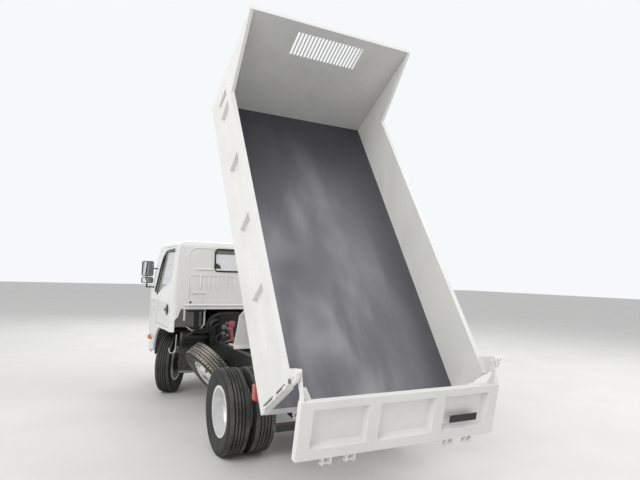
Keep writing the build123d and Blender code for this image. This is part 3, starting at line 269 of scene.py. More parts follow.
@dataclass(frozen=True)
class Finish:
    """A solid finish: its colour, gloss, drift, dust and grain."""

    name: str
    colour: Colour
    roughness: float
    metallic: float = 0.0
    coat: float = 0.0
    drift: float = 0.05
    drift_scale: float = 2.5
    dust: float = 0.0
    dust_colour: Colour = (0.36, 0.33, 0.29)
    dust_top: float = 0.9
    streaks: float = 0.0
    grain: float = 60.0
    grain_depth: float = 0.0002
    speckle_scale: float = 38.0
    drift_gloss: float = 0.16
    speckle_gloss: float = 0.10
    dust_foot: float = 0.15
    streak_scale: float = 9.0
    streak_stretch: Point = (7.0, 7.0, 0.45)

    def material(self) -> bpy.types.Material:
        """Make the finish: drifting colour, low-lying dust, fine streaks and a grain.

        Returns:
            The material.
        """
        shader = Shader(self.name)
        drift = shader.noise(self.drift_scale, 4.0)
        dark = toned(self.colour, 1.0 - 2.0 * self.drift)
        colour = shader.blend(dark, self.colour, drift.step(0.3, 0.62))
        speckle = shader.noise(self.speckle_scale, 6.0)
        rough = (self.roughness + (drift - 0.5) * self.drift_gloss
                 + (speckle - 0.5) * self.speckle_gloss)
        if self.streaks:
            runs = shader.noise(self.streak_scale, 5.0, self.streak_stretch)
            runs = runs.step(0.56, 0.8) * self.streaks
            colour = shader.blend(colour, self.dust_colour, runs)
            rough = rough + runs * 0.3
        if self.dust:
            low = shader.axis("Z").step(self.dust_top, self.dust_foot)
            above = shader.facing("Z").step(0.2, 0.9)
            cover = (low * 0.75 + above * 0.35) * speckle.step(0.32, 0.66) * self.dust
            colour = shader.blend(colour, self.dust_colour, cover)
            rough = rough + cover * 0.4
        colour = self.base(shader, colour)
        bumped = shader.bump(shader.noise(self.grain, 3.0), self.grain_depth)
        return shader.finish(Base_Color=colour, Roughness=rough, Metallic=self.metallic,
                             Coat_Weight=self.coat, Normal=bumped)

    def base(self, shader: Shader, colour: Value) -> Value:
        """Leave the colour as it is; two-coloured paints change it here."""
        return colour


@dataclass(frozen=True)
class CabPaint(Finish):
    """The cab's white paint, with painted shade: near black on the underside inside the walls."""

    # Painted shade: the near-black colour of the underside inside the walls
    inner: Colour = (0.008, 0.008, 0.009)
    inner_x: float = 0.790
    inner_z: float = 1.117
    post_y: float = 1.0
    post_foot: float = 0.900
    front_y: float = 2.45
    front_edge: float = 0.01
    edge: float = 0.002

    def base(self, shader: Shader, colour: Value) -> Value:
        """Paint shade near black on what lies under the cab's floor, between its outer skins.

        Args:
            shader: The material's nodes.
            colour: The outer paint's colour.

        Returns:
            The colour of both.
        """
        # Painted shade: black under the cab's floor inside its skins, all but the rear faces above
        # the posts' foot
        painted_shade = (shader.axis("X").size().step(self.inner_x + self.edge, self.inner_x)
                  * shader.axis("Z").step(self.inner_z + self.edge, self.inner_z)
                  * shader.axis("Y").step(self.front_y + self.front_edge, self.front_y)
                  * (1.0 - shader.axis("Y").step(self.post_y + self.edge, self.post_y)
                     * shader.axis("Z").step(self.post_foot, self.post_foot + self.edge)))
        return shader.blend(colour, self.inner, painted_shade)


@dataclass(frozen=True)
class InnerPaint(Finish):
    """White paint outside; a darker tone of painted shade on the faces round the load, with scuffs
    of wear.
    """

    # Painted shade: the darker tone of the faces round the load
    inner: Colour = (0.36, 0.355, 0.345)
    scuffed: float = 0.94
    across: float = 0.802
    ahead: float = 2.8
    edge: float = 0.001

    def base(self, shader: Shader, colour: Value) -> Value:
        """Tone the faces that look at the load darker as painted shade, with scuffs where loads
        rub.

        Args:
            shader: The material's nodes.
            colour: The outer paint's colour.

        Returns:
            The colour of both.
        """
        along = shader.from_hinge(BED_ANGLE)
        inside = (shader.axis("X").size().step(self.across + self.edge, self.across)
                  * along.step(self.ahead + self.edge, self.ahead))
        scuffs = shader.noise(6.0, 6.0, (1.0, 1.0, 0.3)).step(0.42, 0.7)
        # Painted shade in the inner tone, with scuffs of wear
        worn = shader.blend(self.inner, toned(self.inner, self.scuffed), scuffs)
        return shader.blend(colour, worn, inside)


@dataclass(frozen=True)
class BedSteel:
    """The load floor's dark paint: paler in lanes where loads wear it and with painted sky
    reflection, painted shadow to the right and the front, wavy under the sky, lighter below.
    """

    name: str = "bed_floor_paint"
    colour: Colour = (0.135, 0.134, 0.150)
    # Paler patches: part wear from loads, part painted sky reflection
    rubbed_and_sky_sheen: Colour = (0.330, 0.327, 0.352)
    underside: Colour = (0.62, 0.62, 0.60)
    top_out: float = 0.1085
    edge: float = 0.001
    shadow: float = 0.28
    lanes_across: float = 2.6
    lanes_along: float = 0.8
    lane_edges: tuple[float, float] = (0.42, -0.10)
    dark_right: tuple[float, float] = (0.40, 0.75)
    dark_front: tuple[float, float] = (1.0, 2.5)
    dent_depth: float = 0.004
    grain_depth: float = 0.0003

    def material(self) -> bpy.types.Material:
        """Make the paint: paler lengthwise lanes, part wear and part painted sky reflection,
        painted shadow, and dents on top, pale paint on the underside.

        Returns:
            The material.
        """
        shader = Shader(self.name)
        along, out = shader.from_hinge(BED_ANGLE), shader.from_hinge(BED_ANGLE + math.pi / 2)
        top = out.step(self.top_out - self.edge, self.top_out)
        across = shader.axis("X")
        lane = shader.node("ShaderNodeCombineXYZ", {}, {0: across * self.lanes_across,
                                                        1: along * self.lanes_along})
        rub_and_sheen_lanes = shader.node("ShaderNodeTexNoise", {}, {"Vector": lane, "Scale": 1.0, "Detail": 3.0})
        patches = shader.noise(1.4, 2.0)
        fine = shader.noise(46.0, 5.0)
        lane_share = across.step(*self.lane_edges) * 0.7 + 0.3
        # The paler patches: part wear from loads, part painted sky reflection
        worn = rub_and_sheen_lanes.step(0.36, 0.62) * patches.step(0.26, 0.58) * lane_share
        paint = shader.blend(self.colour, self.rubbed_and_sky_sheen, worn)
        # Painted shadow: darker towards the right wall and towards the front
        dark = toned(self.colour, self.shadow)
        paint = shader.blend(paint, dark, across.step(*self.dark_right) * 0.7)
        paint = shader.blend(paint, dark, along.step(*self.dark_front) * 0.9)
        colour = shader.blend(self.underside, paint, top)
        rough = 0.34 + worn * 0.16 + (fine - 0.5) * 0.14 + (patches - 0.5) * 0.2
        dents = shader.bump(shader.noise(3.4, 1.0), self.dent_depth)
        bumped = shader.bump(fine, self.grain_depth, dents)
        return shader.finish(Base_Color=colour, Roughness=rough, Normal=bumped)


@dataclass(frozen=True)
class TyreRubber:
    """Dusty tyre rubber: dust lies on the tread's ribs and leaves the grooves black."""

    name: str = "tyre_rubber_dusty"
    colour: Colour = (0.013, 0.013, 0.013)
    dust: Colour = (0.095, 0.088, 0.080)
    centre: Point = (0.0, 0.0, 0.0)
    axis: Point = (1.0, 0.0, 0.0)
    radius: float = 0.369
    cover: float = 0.75
    rib_foot: float = 0.0085
    rib_top: float = 0.0055
    side_clean: float = 0.020
    side_dusty: float = 0.045

    def material(self) -> bpy.types.Material:
        """Make the rubber, with its dust by the distance from the wheel's axis.

        The distance is the length of (point - centre) x axis.

        Returns:
            The material.
        """
        shader = Shader(self.name)
        arm = shader.vector("SUBTRACT", shader.place, self.centre)
        square = shader.vector("CROSS_PRODUCT", arm, self.axis)
        out = shader.vector("LENGTH", square, output="Value")
        ribs = out.step(self.radius - self.rib_foot, self.radius - self.rib_top)
        side = out.step(self.radius - self.side_clean, self.radius - self.side_dusty)
        patches = shader.noise(5.0, 6.0)
        speckle = shader.noise(90.0, 4.0)
        film = patches.step(0.25, 0.7) * 0.6 + speckle.step(0.45, 0.75) * 0.4
        cover = film * (ribs + side * 0.35) * self.cover
        colour = shader.blend(self.colour, self.dust, cover)
        return shader.finish(Base_Color=colour, Roughness=0.72 + cover * 0.2,
                             Normal=shader.bump(speckle, 0.0004))


@dataclass(frozen=True)
class Glass:
    """Clear or tinted glass that lets light through."""

    name: str
    colour: Colour
    alpha: float
    roughness: float = 0.03
    grime: Colour = (0.3, 0.3, 0.29)

    def material(self) -> bpy.types.Material:
        """Make the glass: a thin tinted sheet with faint grime in its gloss.

        Returns:
            The material.
        """
        shader = Shader(self.name)
        grime = shader.noise(14.0, 5.0)
        return shader.finish(Base_Color=shader.blend(self.colour, self.grime, grime * 0.12),
                             Roughness=self.roughness + grime.step(0.5, 0.9) * 0.12,
                             Alpha=self.alpha + grime * 0.06, IOR=1.5)


@dataclass(frozen=True)
class Lens:
    """A lamp's moulded lens with its fine ribs."""

    name: str
    colour: Colour
    ribs: float = 160.0
    groove: float = 0.55

    def material(self) -> bpy.types.Material:
        """Make the lens: a clear coat over ribbed colour.

        Returns:
            The material.
        """
        shader = Shader(self.name)
        ribs = (shader.axis("X") * (self.ribs * math.tau)).sine()
        deep = toned(self.colour, self.groove)
        colour = shader.blend(deep, self.colour, ribs.step(-0.9, 0.6))
        return shader.finish(Base_Color=colour, Roughness=0.18 + shader.noise(30.0) * 0.06,
                             Coat_Weight=0.8, Normal=shader.bump(ribs * 0.5 + 0.5, 0.0006))


@dataclass(frozen=True)
class Weave:
    """Seat cloth: a fine weave with a worn, paler top."""

    name: str = "seat_weave"
    colour: Colour = (0.070, 0.074, 0.082)
    threads: float = 1900.0
    wear: float = 1.7

    def material(self) -> bpy.types.Material:
        """Make the cloth: two crossed waves for the threads.

        Returns:
            The material.
        """
        shader = Shader(self.name)
        across, up = ((shader.axis(name) * self.threads).sine() for name in ("X", "Z"))
        thread = across * up * 0.5 + 0.5
        worn = shader.noise(7.0, 5.0).step(0.4, 0.7)
        pale = toned(self.colour, self.wear)
        colour = shader.blend(self.colour, pale, thread * 0.4 + worn * 0.3)
        return shader.finish(Base_Color=colour, Roughness=0.88 + worn * 0.06,
                             Normal=shader.bump(thread, 0.0005))


# What the cab's paint and the bed's paint are like, wherever they are used
CAB_COLOUR, BED_COLOUR = (0.80, 0.795, 0.775), (0.79, 0.785, 0.765)
CAB_PAINT = {"coat": 0.35, "drift": 0.018, "dust": 0.35, "dust_top": 1.0, "streaks": 0.10,
             "grain": 260.0, "grain_depth": 0.00006}
BED_PAINT = {"coat": 0.2, "drift": 0.03, "dust": 0.10, "dust_top": 0.8, "streaks": 0.10,
             "grain": 150.0, "grain_depth": 0.00012}


class Coat(Enum):
    """Every finish on the truck, made once and shared."""

    WHITE = Finish("white_gloss_paint", CAB_COLOUR, 0.30, **CAB_PAINT)
    BED_WHITE = Finish("bed_white_paint", BED_COLOUR, 0.38, **BED_PAINT)
    # The cab's paint carries painted shade in black on its underside
    CAB_WHITE = CabPaint("cab_white_paint", CAB_COLOUR, 0.30, post_y=1.996 + AXLE_Y,
                         front_y=2.45 + AXLE_Y, **CAB_PAINT)
    # Painted shade on the faces round the load, darkest on the headboard
    SIDE_WHITE = InnerPaint("side_white_paint", BED_COLOUR, 0.38, inner=(0.76, 0.755, 0.74),
                            ahead=9.0, **BED_PAINT)
    HEAD_WHITE = InnerPaint("headboard_paint", BED_COLOUR, 0.38, inner=(0.60, 0.60, 0.59),
                            across=9.0, ahead=2.784, **BED_PAINT)
    ALLOY = Finish("engine_alloy", (0.30, 0.30, 0.29), 0.38, metallic=0.7, drift=0.2, dust=0.35,
                   dust_top=1.2, grain=120.0, grain_depth=0.0006)
    SMOKE = Finish("dark_grey_plastic", (0.10, 0.10, 0.105), 0.5, drift=0.08, dust=0.1,
                   grain=420.0, grain_depth=0.0002)
    # Dark grey: painted shade in the latch slots, and the real grey of the door handles' pulls
    SHADE = Finish("latch_slot_grey", (0.16, 0.16, 0.165), 0.6, drift=0.05, grain=150.0)
    BLACK = Finish("chassis_black_paint", (0.011, 0.011, 0.012), 0.40, drift=0.12, dust=0.16,
                   dust_top=0.85, grain=110.0, grain_depth=0.0003)
    IRON = Finish("axle_cast_iron", (0.018, 0.017, 0.017), 0.62, metallic=0.2, drift=0.2,
                  dust=0.30, dust_top=0.8, grain=140.0, grain_depth=0.0008)
    ENGINE = Finish("engine_cast_iron", (0.030, 0.029, 0.028), 0.55, metallic=0.45, drift=0.25,
                    dust=0.22, dust_top=1.2, grain=120.0, grain_depth=0.0010)
    SILVER = Finish("wheel_silver_paint", (0.80, 0.80, 0.80), 0.30, metallic=0.25, coat=0.15,
                    drift=0.04, dust=0.12, dust_top=0.7, streaks=0.04, grain=180.0,
                    grain_depth=0.0001)
    ZINC = Finish("zinc_plate", (0.55, 0.55, 0.53), 0.34, metallic=0.85, drift=0.12, dust=0.2,
                  grain=200.0, grain_depth=0.0001)
    CHROME = Finish("hard_chrome", (0.70, 0.70, 0.70), 0.08, metallic=1.0, drift=0.01,
                    grain=300.0, grain_depth=0.00001)
    PLASTIC = Finish("black_plastic", (0.024, 0.024, 0.025), 0.55, drift=0.08, dust=0.2,
                     dust_top=1.2, grain=420.0, grain_depth=0.0002)
    RUBBER = Finish("black_rubber", (0.018, 0.018, 0.018), 0.68, drift=0.10, dust=0.25,
                    dust_top=1.2, grain=240.0, grain_depth=0.0002)
    RED_OXIDE = Finish("faded_red_paint", (0.46, 0.10, 0.12), 0.45, drift=0.1, grain=200.0)
    MILKY = Finish("milky_tank", (0.62, 0.61, 0.55), 0.4, drift=0.05, grain=90.0)
    PLATE = Finish("blank_plate", (0.012, 0.012, 0.013), 0.35, drift=0.05, grain=90.0)
    FLOOR_STEEL = BedSteel()
    TYRE = TyreRubber()
    GLASS = Glass("window_glass", (0.26, 0.32, 0.29), 0.09)
    HEAD_LENS = Glass("head_lamp_glass", (0.60, 0.62, 0.63), 0.75, 0.05)
    MIRROR = Finish("mirror_silver", (0.85, 0.86, 0.87), 0.03, metallic=1.0, drift=0.0,
                    grain=10.0, grain_depth=0.0)
    RED_LENS = Lens("red_lens", (0.62, 0.03, 0.015))
    AMBER_LENS = Lens("amber_lens", (0.85, 0.25, 0.02))
    TAIL_LENS = Lens("tail_lens", (0.62, 0.075, 0.012))
    CLEAR_LENS = Lens("clear_lens", (0.80, 0.80, 0.78))
    CLOTH = Weave()

    def material(self) -> bpy.types.Material:
        """Give this finish's material, made the first time it is asked for."""
        found = bpy.data.materials.get(self.value.name)
        return found or self.value.material()


@dataclass
class Surface:
    """Points and four-cornered faces of one or more closed shells."""

    points: np.ndarray
    faces: np.ndarray

    def placed(self, turn: np.ndarray, place: np.ndarray) -> "Surface":
        """Give the surface turned by a rotation about its own middle and set at a place."""
        return Surface(self.points @ turn.T + place, self.faces)

    def mirrored(self) -> "Surface":
        """Give the surface mirrored across the truck's middle, faces still outward."""
        return Surface(self.points * np.array([-1.0, 1.0, 1.0]), self.faces[:, ::-1])

    def both_sides(self) -> "Surface":
        """Give the surface with its mirror image."""
        return together([self, self.mirrored()])

    def on_bed(self) -> "Surface":
        """Set the surface from the bed's frame, along and out of its floor, into the model's."""
        return Surface(tilted(self.points, BED_PIN, BED_ANGLE), self.faces)

    def on_gate(self) -> "Surface":
        """Set the surface from the tailgate's frame, out of it and up from its pins."""
        return Surface(tilted(self.points, GATE_PIN, GATE_LEAN), self.faces)

    def piece(self, name: str, coat: "Coat | TyreRubber", body: str, replaces: tuple[str, ...] = (),
              slot: str = "", bevel: float = 0.0, smooth: float = 35.0) -> bpy.types.Object:
        """Make the mesh object, ride it on its body and report it.

        Args:
            name: The piece's name.
            coat: Its finish.
            body: The body that it moves with.
            replaces: CAD nodes that it stands for.
            slot: The record's material slot; not used.
            bevel: The width of its rounded edges, or 0.
            smooth: The sharpest turn in degrees that is still shaded smooth.

        Returns:
            The object.
        """
        mesh = bpy.data.meshes.new(name)
        mesh.vertices.add(len(self.points))
        mesh.vertices.foreach_set("co", self.points.astype(np.float32).ravel())
        mesh.loops.add(self.faces.size)
        mesh.loops.foreach_set("vertex_index", self.faces.astype(np.int32).ravel())
        mesh.polygons.add(len(self.faces))
        mesh.polygons.foreach_set("loop_start", np.arange(0, self.faces.size, 4, dtype=np.int32))
        mesh.update(calc_edges=True)
        mesh.validate()
        mesh.materials.append(coat.material())
        made = bpy.data.objects.new(name, mesh)
        bpy.context.scene.collection.objects.link(made)
        if bevel:
            rounding = made.modifiers.new("rounding", "BEVEL")
            rounding.width = bevel
            rounding.segments = 3
            rounding.limit_method = "ANGLE"
        mesh.shade_smooth()
        mesh.set_sharp_from_angle(angle=math.radians(smooth))
        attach(made, body)
        if replaces:
            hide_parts(*replaces)
        log.info("%s: %d faces on %s", name, len(self.faces), body)
        return made


def together(parts: list[Surface]) -> Surface:
    """Put surfaces into one mesh.

    Args:
        parts: The surfaces.

    Returns:
        All of them as one.
    """
    starts = np.cumsum([0] + [len(part.points) for part in parts[:-1]])
    return Surface(np.vstack([part.points for part in parts]),
                   np.vstack([part.faces + start for part, start in zip(parts, starts)]))


def grid_faces(rings: int, count: int, closed: bool) -> np.ndarray:
    """Number the four corners of each cell between rings of points.

    Args:
        rings: How many rings there are.
        count: Points in a ring.
        closed: Whether the last ring joins the first.

    Returns:
        The faces, one a row.
    """
    ring = np.arange(rings if closed else rings - 1)[:, None]
    point = np.arange(count)[None, :]
    start, after = ring * count, (ring + 1) % rings * count
    following = (point + 1) % count
    corners = [start + point, after + point, after + following, start + following]
    return np.stack(corners, axis=-1).reshape(-1, 4)


def basis(direction: np.ndarray) -> tuple[np.ndarray, np.ndarray]:
    """Give two unit vectors square to a direction and to each other.

    Args:
        direction: The direction.

    Returns:
        The two vectors.
    """
    way = direction / np.linalg.norm(direction)
    helper = UP if abs(way[2]) < 0.9 else AHEAD
    first = np.cross(helper, way)
    first /= np.linalg.norm(first)
    return first, np.cross(way, first)


def lathe(profile: np.ndarray, centre: np.ndarray, axis: np.ndarray, turns: int,
          relief: np.ndarray | None = None) -> Surface:
    """Turn a closed profile about an axis.

    A point at (along, radius) and angle t lies at centre + along * axis
    + (radius + relief) * (cos t * first + sin t * second).

    Args:
        profile: (along, radius) points of a closed loop, anticlockwise seen with along to the
            right and radius up.
        centre: A point on the axis.
        axis: The axis's unit vector.
        turns: How many steps go round.
        relief: What to add to the radius, by step and by point.

    Returns:
        The closed surface.
    """
    first, second = basis(axis)
    angle = np.linspace(0.0, math.tau, turns, endpoint=False)[:, None]
    radius = np.broadcast_to(profile[:, 1], (turns, len(profile)))
    if relief is not None:
        radius = radius + relief
    round_way = np.cos(angle)[..., None] * first + np.sin(angle)[..., None] * second
    points = centre + profile[:, 0][None, :, None] * axis + radius[..., None] * round_way
    return Surface(points.reshape(-1, 3), grid_faces(turns, len(profile), True))


def knob(profile: list[tuple[float, float]], centre: np.ndarray, axis: np.ndarray,
         turns: int = 24) -> Surface:
    """Turn an open profile from the axis out and back to it, with its poles all but closed.

    Args:
        profile: (along, radius) points from the back's middle to the front's.
        centre: Where the axis starts.
        axis: The axis's direction.
        turns: How many steps go round.

    Returns:
        The closed surface.
    """
    way = axis / np.linalg.norm(axis)
    points = np.array([(profile[0][0], POLE), *profile, (profile[-1][0], POLE)])
    return lathe(points, centre, way, turns)


def smooth_path(corners: list[Point] | np.ndarray, rounds: int = 3) -> np.ndarray:
    """Lay a smooth curve near a few corners, by rounds of corner cutting.

    Each round keeps a quarter and three quarters of every run, which tends to a quadratic
    B-spline of the corners.

    Args:
        corners: The path's corners.
        rounds: How often the corners are cut.

    Returns:
        The curve's points.
    """
    points = np.asarray(corners, float)
    for _ in range(rounds):
        here, ahead = points[:-1], points[1:]
        cut = np.stack([0.75 * here + 0.25 * ahead, 0.25 * here + 0.75 * ahead], axis=1)
        points = np.vstack([points[:1], cut.reshape(-1, 3), points[-1:]])
    return points


def tube(path: np.ndarray, radius: float, sides: int = 12, closed: bool = False) -> Surface:
    """Carry a circle along a path.

    At each point the circle lies square to the path's mean direction there, and its turn is
    kept by carrying one reference direction along.

    Args:
        path: The path's points.
        radius: The tube's radius.
        sides: Points round the circle.
        closed: Whether the path is a ring.

    Returns:
        The surface, with capped ends where the path is open.
    """
    ahead = np.roll(path, -1, axis=0) - path
    behind = path - np.roll(path, 1, axis=0)
    if not closed:
        ahead[-1], behind[0] = behind[-1], ahead[0]
    way = ahead + behind
    way /= np.linalg.norm(way, axis=1)[:, None]
    spread = np.ptp(path, axis=0)
    helper = np.eye(3)[int(np.argmin(spread))]
    first = np.cross(way, helper)
    first /= np.linalg.norm(first, axis=1)[:, None]
    second = np.cross(way, first)
    radii = np.full(len(path), radius)
    if not closed:
        path, first, second = (np.vstack([rows[:1], rows, rows[-1:]])
                               for rows in (path, first, second))
        radii = np.hstack([POLE, radii, POLE])
    angle = np.linspace(0.0, math.tau, sides, endpoint=False)[None, :, None]
    circle = np.cos(angle) * first[:, None] + np.sin(angle) * second[:, None]
    points = path[:, None] + radii[:, None, None] * circle
    return Surface(points.reshape(-1, 3), grid_faces(len(path), sides, closed)[:, ::-1])


def block(low: Point | np.ndarray, high: Point | np.ndarray) -> Surface:
    """Make a box between its low corner and its high corner."""
    x, y, z = zip(low, high)
    floor = ((x[0], y[0]), (x[1], y[0]), (x[1], y[1]), (x[0], y[1]))
    return Surface(np.array([(*corner, level) for level in z for corner in floor]), BOX_FACES)


def box(low: Point, high: Point) -> Surface:
    """Make a box between two corners given from the ground under the rear axle."""
    return block(chassis(*low), chassis(*high))


def sheet(loop: np.ndarray, across: tuple[float, float]) -> Surface:
    """Carry a thin loop across X, its second half lying back along its first.

    Args:
        loop: The loop's (y, z) points in the model's frame.
        across: The X of its two ends.

    Returns:
        The closed surface, its ends filled by the cells between the loop's halves.
    """
    points = np.vstack([np.column_stack([np.full(len(loop), x), loop]) for x in across])
    walls = grid_faces(2, len(loop), False)
    first, last = np.arange(len(loop) // 2 - 1), len(loop) - 1
    caps = np.column_stack([first, first + 1, last - first - 1, last - first])
    return Surface(points, np.vstack([walls, caps, caps[:, ::-1] + len(loop)]))


def rounded_ring(outline: list[tuple[float, float]], radius: float) -> np.ndarray:
    """Round the corners of a closed outline.

    Each corner becomes a quadratic curve between the points that lie a radius before and after
    it: (1-t)^2 before + 2t(1-t) corner + t^2 after.

    Args:
        outline: The corners in order.
        radius: How far from a corner its curve starts.

    Returns:
        The outline's points.
    """
    corner = np.asarray(outline, float)
    before, after = np.roll(corner, 1, axis=0) - corner, np.roll(corner, -1, axis=0) - corner
    start = corner + radius * before / np.linalg.norm(before, axis=1)[:, None]
    end = corner + radius * after / np.linalg.norm(after, axis=1)[:, None]
    t = np.linspace(0.0, 1.0, 7)[None, :, None]
    curve = ((1 - t) ** 2 * start[:, None] + 2 * t * (1 - t) * corner[:, None]
             + t ** 2 * end[:, None])
    return curve.reshape(-1, 2)


@dataclass
class Stage:
    """The plain floor, the soft light and the camera at the photograph's angle."""

    camera_x: float = -2.1909
    camera_y: float = -4.4474
    camera_z: float = 1.5682
    yaw: float = 27.626
    pitch: float = 4.052
    roll: float = 1.732
    lens: float = 28.95
    sensor: float = 36.0
    floor_half: float = 60.0
    floor_colour: Colour = (0.72, 0.71, 0.70)
    sky_colour: Colour = (0.93, 0.94, 0.95)
    sky_light: float = 0.72
    lamps: tuple[tuple[str, Point, float, float], ...] = (
        ("key", (-8.0, -6.0, 8.5), 7.0, 700.0), ("side", (8.0, -2.0, 7.0), 6.0, 300.0),
        ("front", (2.0, 9.0, 7.0), 7.0, 320.0))

    def floor(self) -> None:
        """Lay the floor: one large square with a faint mottling."""
        half = self.floor_half
        corners = [(-half, -half, 0.0), (half, -half, 0.0), (half, half, 0.0), (-half, half, 0.0)]
        mesh = bpy.data.meshes.new("stage_floor")
        mesh.from_pydata(corners, [], [(0, 1, 2, 3)])
        shader = Shader("stage_floor")
        mottle = shader.noise(1.3, 5.0)
        colour = shader.blend(toned(self.floor_colour, 0.96), self.floor_colour,
                              mottle.step(0.3, 0.7))
        mesh.materials.append(shader.finish(Base_Color=colour, Roughness=0.9))
        floor = bpy.data.objects.new("stage_floor", mesh)
        bpy.context.scene.collection.objects.link(floor)

    def lights(self) -> None:
        """Light the truck like an overcast sky, with a wide lamp behind left and two weaker.

        The sky gives its own colour to the camera and to reflections, and less light to the rest.
        """
        world = bpy.data.worlds.new("soft_sky")
        world.use_nodes = True
        nodes, links = world.node_tree.nodes, world.node_tree.links
        plain, seen = nodes["Background"], nodes.new("ShaderNodeBackground")
        for sky, strength in ((plain, self.sky_light), (seen, 1.0)):
            sky.inputs["Color"].default_value = (*self.sky_colour, 1.0)
            sky.inputs["Strength"].default_value = strength
        path = nodes.new("ShaderNodeLightPath")
        direct = nodes.new("ShaderNodeMath")
        direct.operation = "MAXIMUM"
        links.new(path.outputs["Is Camera Ray"], direct.inputs[0])
        links.new(path.outputs["Is Glossy Ray"], direct.inputs[1])
        mix = nodes.new("ShaderNodeMixShader")
        links.new(direct.outputs[0], mix.inputs[0])
        links.new(plain.outputs[0], mix.inputs[1])
        links.new(seen.outputs[0], mix.inputs[2])
        links.new(mix.outputs[0], nodes["World Output"].inputs["Surface"])
        bpy.context.scene.world = world
        for name, place, size, power in self.lamps:
            lamp = bpy.data.lights.new(name, "AREA")
            lamp.size, lamp.energy = size, power
            made = bpy.data.objects.new(name, lamp)
            made.location = place
            made.rotation_mode = "QUATERNION"
            made.rotation_quaternion = (-Vector(place)).to_track_quat("-Z", "Y")
            bpy.context.scene.collection.objects.link(made)

    def camera(self) -> None:
        """Set the camera where the photograph was taken from."""
        yaw, pitch, roll = (math.radians(turn) for turn in (self.yaw, self.pitch, self.roll))
        ahead = np.array([math.sin(yaw) * math.cos(pitch), math.cos(yaw) * math.cos(pitch),
                          math.sin(pitch)])
        right = np.array([math.cos(yaw), -math.sin(yaw), 0.0])
        up = np.cross(right, ahead)
        right_rolled = math.cos(roll) * right + math.sin(roll) * up
        up_rolled = -math.sin(roll) * right + math.cos(roll) * up
        data = bpy.data.cameras.new("photo_camera")
        data.lens = self.lens
        data.sensor_width = self.sensor
        data.sensor_fit = "HORIZONTAL"
        made = bpy.data.objects.new("photo_camera", data)
        x, y, z = chassis(self.camera_x, self.camera_y, self.camera_z)
        columns = np.column_stack([right_rolled, up_rolled, -ahead])
        rows = [[*columns[0], x], [*columns[1], y], [*columns[2], z], [0.0, 0.0, 0.0, 1.0]]
        made.matrix_world = Matrix(rows)
        bpy.context.scene.collection.objects.link(made)
        bpy.context.scene.camera = made

    def build(self) -> None:
        """Make the floor, the lights and the camera."""
        self.floor()
        self.lights()
        self.camera()
        bpy.context.scene.view_settings.view_transform = "Standard"


@dataclass
class Frame:
    """The CAD nodes, which keep their shapes and get their finishes."""

    coats: dict[Coat, tuple[str, ...]] = field(default_factory=lambda: {
        Coat.CAB_WHITE: ("cab_shell",),
        Coat.WHITE: ("door_left", "door_right", "front_bumper"),
        Coat.SIDE_WHITE: ("bed_side_left", "bed_side_right"),
        Coat.BED_WHITE: ("tailgate", "mudguards"),
        Coat.HEAD_WHITE: ("headboard",),
        Coat.FLOOR_STEEL: ("bed_floor",),
        Coat.BLACK: ("chassis_rails", "chassis_members", "subframe_rails", "subframe_members",
                     "radiator", "propeller_shaft", "spare_carrier", "fuel_tank", "vacuum_tank",
                     "rear_underrun", "hoist_barrel", "cab_mount", "intake_duct"),
        Coat.IRON: ("front_axle", "rear_axle", "leaf_springs", "exhaust_silencer",
                    "knuckle_left", "knuckle_right"),
        Coat.ENGINE: ("engine_block", "gearbox"),
        Coat.SILVER: ("spare_rim", "rim_front_left", "rim_front_right", "rims_rear_left",
                      "rims_rear_right"),
        Coat.TYRE: ("spare_tyre", "tyre_front_left", "tyre_front_right", "tyres_rear_left",
                    "tyres_rear_right"),
        Coat.PLASTIC: ("battery_box", "grille", "dashboard", "steering_wheel", "mirrors"),
        Coat.GLASS: ("cab_glass", "door_glass_left", "door_glass_right"),
        Coat.HEAD_LENS: ("head_lamps",),
        Coat.RED_LENS: ("tail_lamps",),
        Coat.CLOTH: ("seats",),
        Coat.CHROME: ("hoist_rod",),
    })

    def build(self) -> None:
        """Give every CAD node its material."""
        for coat, names in self.coats.items():
            for name in names:
                node = frame["nodes"][name]
                if node.data.materials:
                    node.material_slots[0].material = coat.material()
                else:
                    node.data.materials.append(coat.material())


